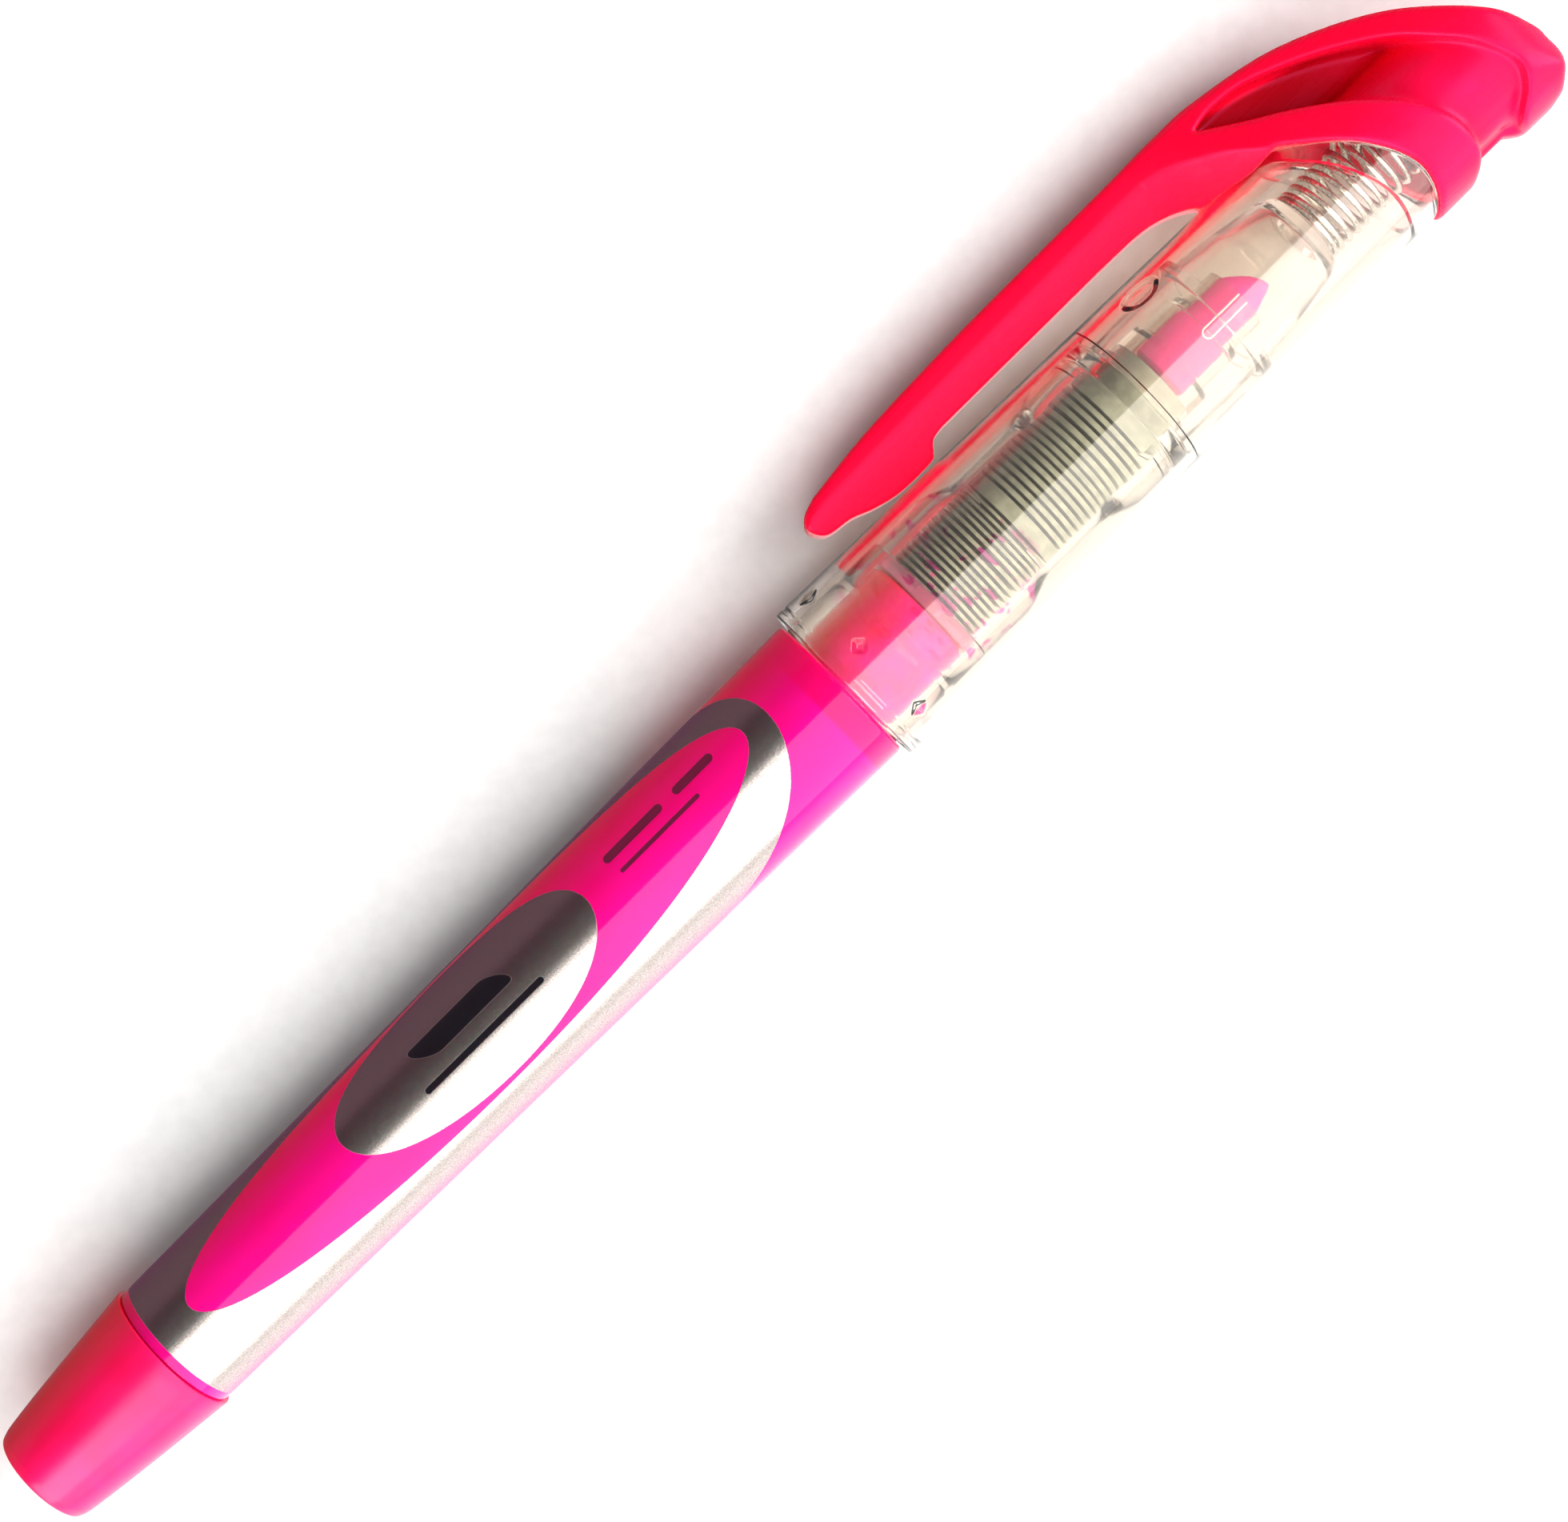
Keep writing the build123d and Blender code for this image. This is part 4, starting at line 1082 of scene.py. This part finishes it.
def make_room():
    """A room that is bright on the softbox's side and dark on the clip's."""
    world = bpy.data.worlds.new("room")
    bpy.context.scene.world = world
    world.use_nodes = True
    room = Nodes(world.node_tree)
    heading = room.node("ShaderNodeTexCoord").outputs["Generated"]
    clipward, upper = room.along(heading, CLIPWARD), room.along(heading, UPPER)
    around = room.times(room.maths("ARCTAN2", clipward, upper), 180 / math.pi)
    light = room.minus(1.0, room.ramp(around, -6.0, -2.0))
    # mirrors see the lit and the shaded part of the table here, not the floor itself
    shaded = room.ramp(clipward, -0.3, 0.2)
    table = room.maths("MULTIPLY_ADD", shaded, TABLE_SHADED - TABLE_LIT, TABLE_LIT)
    below = room.ramp(room.along(heading, (0, 0, 1)), 0.40, -0.02)
    light = room.plus(room.times(light, room.minus(1.0, below)), room.times(table, below))
    # what is seen straight through the clear plastic is never quite dark
    path = room.node("ShaderNodeLightPath")
    straight = room.minus(1.0, room.maths("MINIMUM", path.outputs["Diffuse Depth"], 1.0))
    inside = room.times(path.outputs["Is Transmission Ray"], straight)
    light = room.maths("MAXIMUM", light, room.times(inside, SEEN_THROUGH))
    background = room.tree.nodes["Background"]
    background.inputs[0].default_value = (1.0, 0.985, 0.96, 1)
    room.feed(background.inputs[1],
              room.maths("MULTIPLY_ADD", light, ROOM_LIGHT - ROOM_DARK, ROOM_DARK))


def make_stage():
    mesh = bpy.data.meshes.new("floor")
    mesh.from_pydata(
        [(x * FLOOR_HALF, y * FLOOR_HALF, 0) for x, y in ((-1, -1), (1, -1), (1, 1), (-1, 1))],
        [], [(0, 1, 2, 3)])
    floor = linked("floor", mesh)
    floor.data.materials.append(paper_floor())
    floor.visible_glossy = False

    # one big softbox on the side away from the clip; its near edge is just beside the camera
    key_angle = math.radians(47)
    key = UPPER * math.cos(key_angle) - CLIPWARD * math.sin(key_angle)
    area_light("softbox", key, 0.72, (1.8, 1.3), 10.6, (1.0, 0.98, 0.95))
    # one more beyond each end of the pen, too far round to be mirrored along its sides
    for name, end, watts in (("head_light", 0.8, 3.4), ("tail_light", -0.8, 2.9)):
        area_light(name, ALONG * end + UPPER * 0.5 - CLIPWARD * 0.4, 0.7, (0.5, 0.5), watts)
    # a light for the floor alone, which keeps the pen's shadow soft
    fill = area_light("floor_light", UPPER * 0.8 + CLIPWARD, 0.8, (1.6, 0.8), 5.0)
    fill.visible_glossy = fill.visible_transmission = False
    lit = bpy.data.collections.new("floor_light_receivers")
    lit.objects.link(floor)
    fill.light_linking.receiver_collection = lit
    make_room()

    scene = bpy.context.scene
    scene.view_settings.view_transform = "Standard"
    scene.cycles.transmission_bounces = 16
    scene.cycles.transparent_max_bounces = 16
    scene.cycles.max_bounces = 20
    scene.cycles.sample_clamp_indirect = 8.0


# ---- the object ----
def add_piece(obj, body, slot, finish, *nodes):
    """Give a piece its finish and its body, and hide the CAD nodes that it stands for."""
    obj.data.materials.clear()
    obj.data.materials.append(finish)
    if nodes:
        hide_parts(*nodes)
    if body:
        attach(obj, body)
    return obj


PALE = (0.972, 0.94, 0.885)
clear = clear_plastic("clear_plastic", PALE, 0.02, 0.08)
section_clear = clear_plastic("section_clear", PALE, 0.02, 0.08, splashed=(83.0, 95.0))
cap_clear = clear_plastic("cap_clear", (0.958, 0.912, 0.85), 0.015, 0.05, ior=1.46, coat=0.9)
milky = clear_plastic("inner_clear", (0.975, 0.945, 0.915), 0.04, 0.12, haze=0.03)
# the third colour is painted shade on the clip's side, and recess is painted shade between the arch
# and the core
pink_crown = hot_plastic(
    "crown_plastic", (0.97, 0.004, 0.070), (0.98, 0.006, 0.095), (0.93, 0.002, 0.035),
    rough=(0.24, 0.32), gloss=(1.0, 0.15, 0.5), recess=(0.42, 0.0005, 0.004))
# the third colour is painted shade on the clip's side
pink_tail = hot_plastic(
    "tail_plastic", (0.95, 0.005, 0.13), (0.97, 0.008, 0.17), (0.80, 0.001, 0.018),
    rough=(0.30, 0.38), gloss=(1.0, 0.40, 0.85), coat=0.4)

make_camera()
make_stage()

add_piece(make_tail_plug(), "pen", "tail_plastic", pink_tail, "tail_plug")
add_piece(make_barrel(), "pen", "barrel_plastic", barrel_plastic(), "barrel")
add_piece(make_section(), "pen", "clear_plastic", section_clear, "front_section")
stained = clear_plastic("partition_plastic", (0.95, 0.30, 0.55), 0.1, 0.2, haze=0.3)
add_piece(make_partition(), "pen", "partition_plastic", stained, "ink_partition")
add_piece(make_ink(), "pen", "ink", ink_liquid(), "ink_fill")
add_piece(make_comb(), "pen", "comb_plastic", comb_plastic(), "comb_feed")
wick = ink_fibre("wick_fibre", (0.70, 0.003, 0.20), (0.85, 0.006, 0.30))
add_piece(make_wick(), "pen", "wick_fibre", wick, "feed_wick")
add_piece(make_tip_holder(), "pen", "clear_plastic", clear, "tip_holder")
loop = clear_plastic("loop_plastic", (0.98, 0.97, 0.94), 0.1, 0.2, haze=0.7)
add_piece(make_holder_loop(), "pen", "clear_plastic", loop)
tip = ink_fibre("tip_fibre", (0.82, 0.002, 0.26), (0.93, 0.004, 0.38))
add_piece(make_tip(), "pen", "tip_fibre", tip, "chisel_tip")
add_piece(make_cap_tube(), "cap", "cap_clear", cap_clear, "cap_tube")
add_piece(make_inner_cap(), "inner_cap", "inner_clear", milky, "inner_cap")
spring = add_piece(make_spring(), "spring", "spring_steel", spring_steel(), "cap_spring")
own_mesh(spring)
crown = add_piece(crown_and_clip(), None, "crown_plastic", pink_crown, "cap_crown", "clip_arm")
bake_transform(crown)
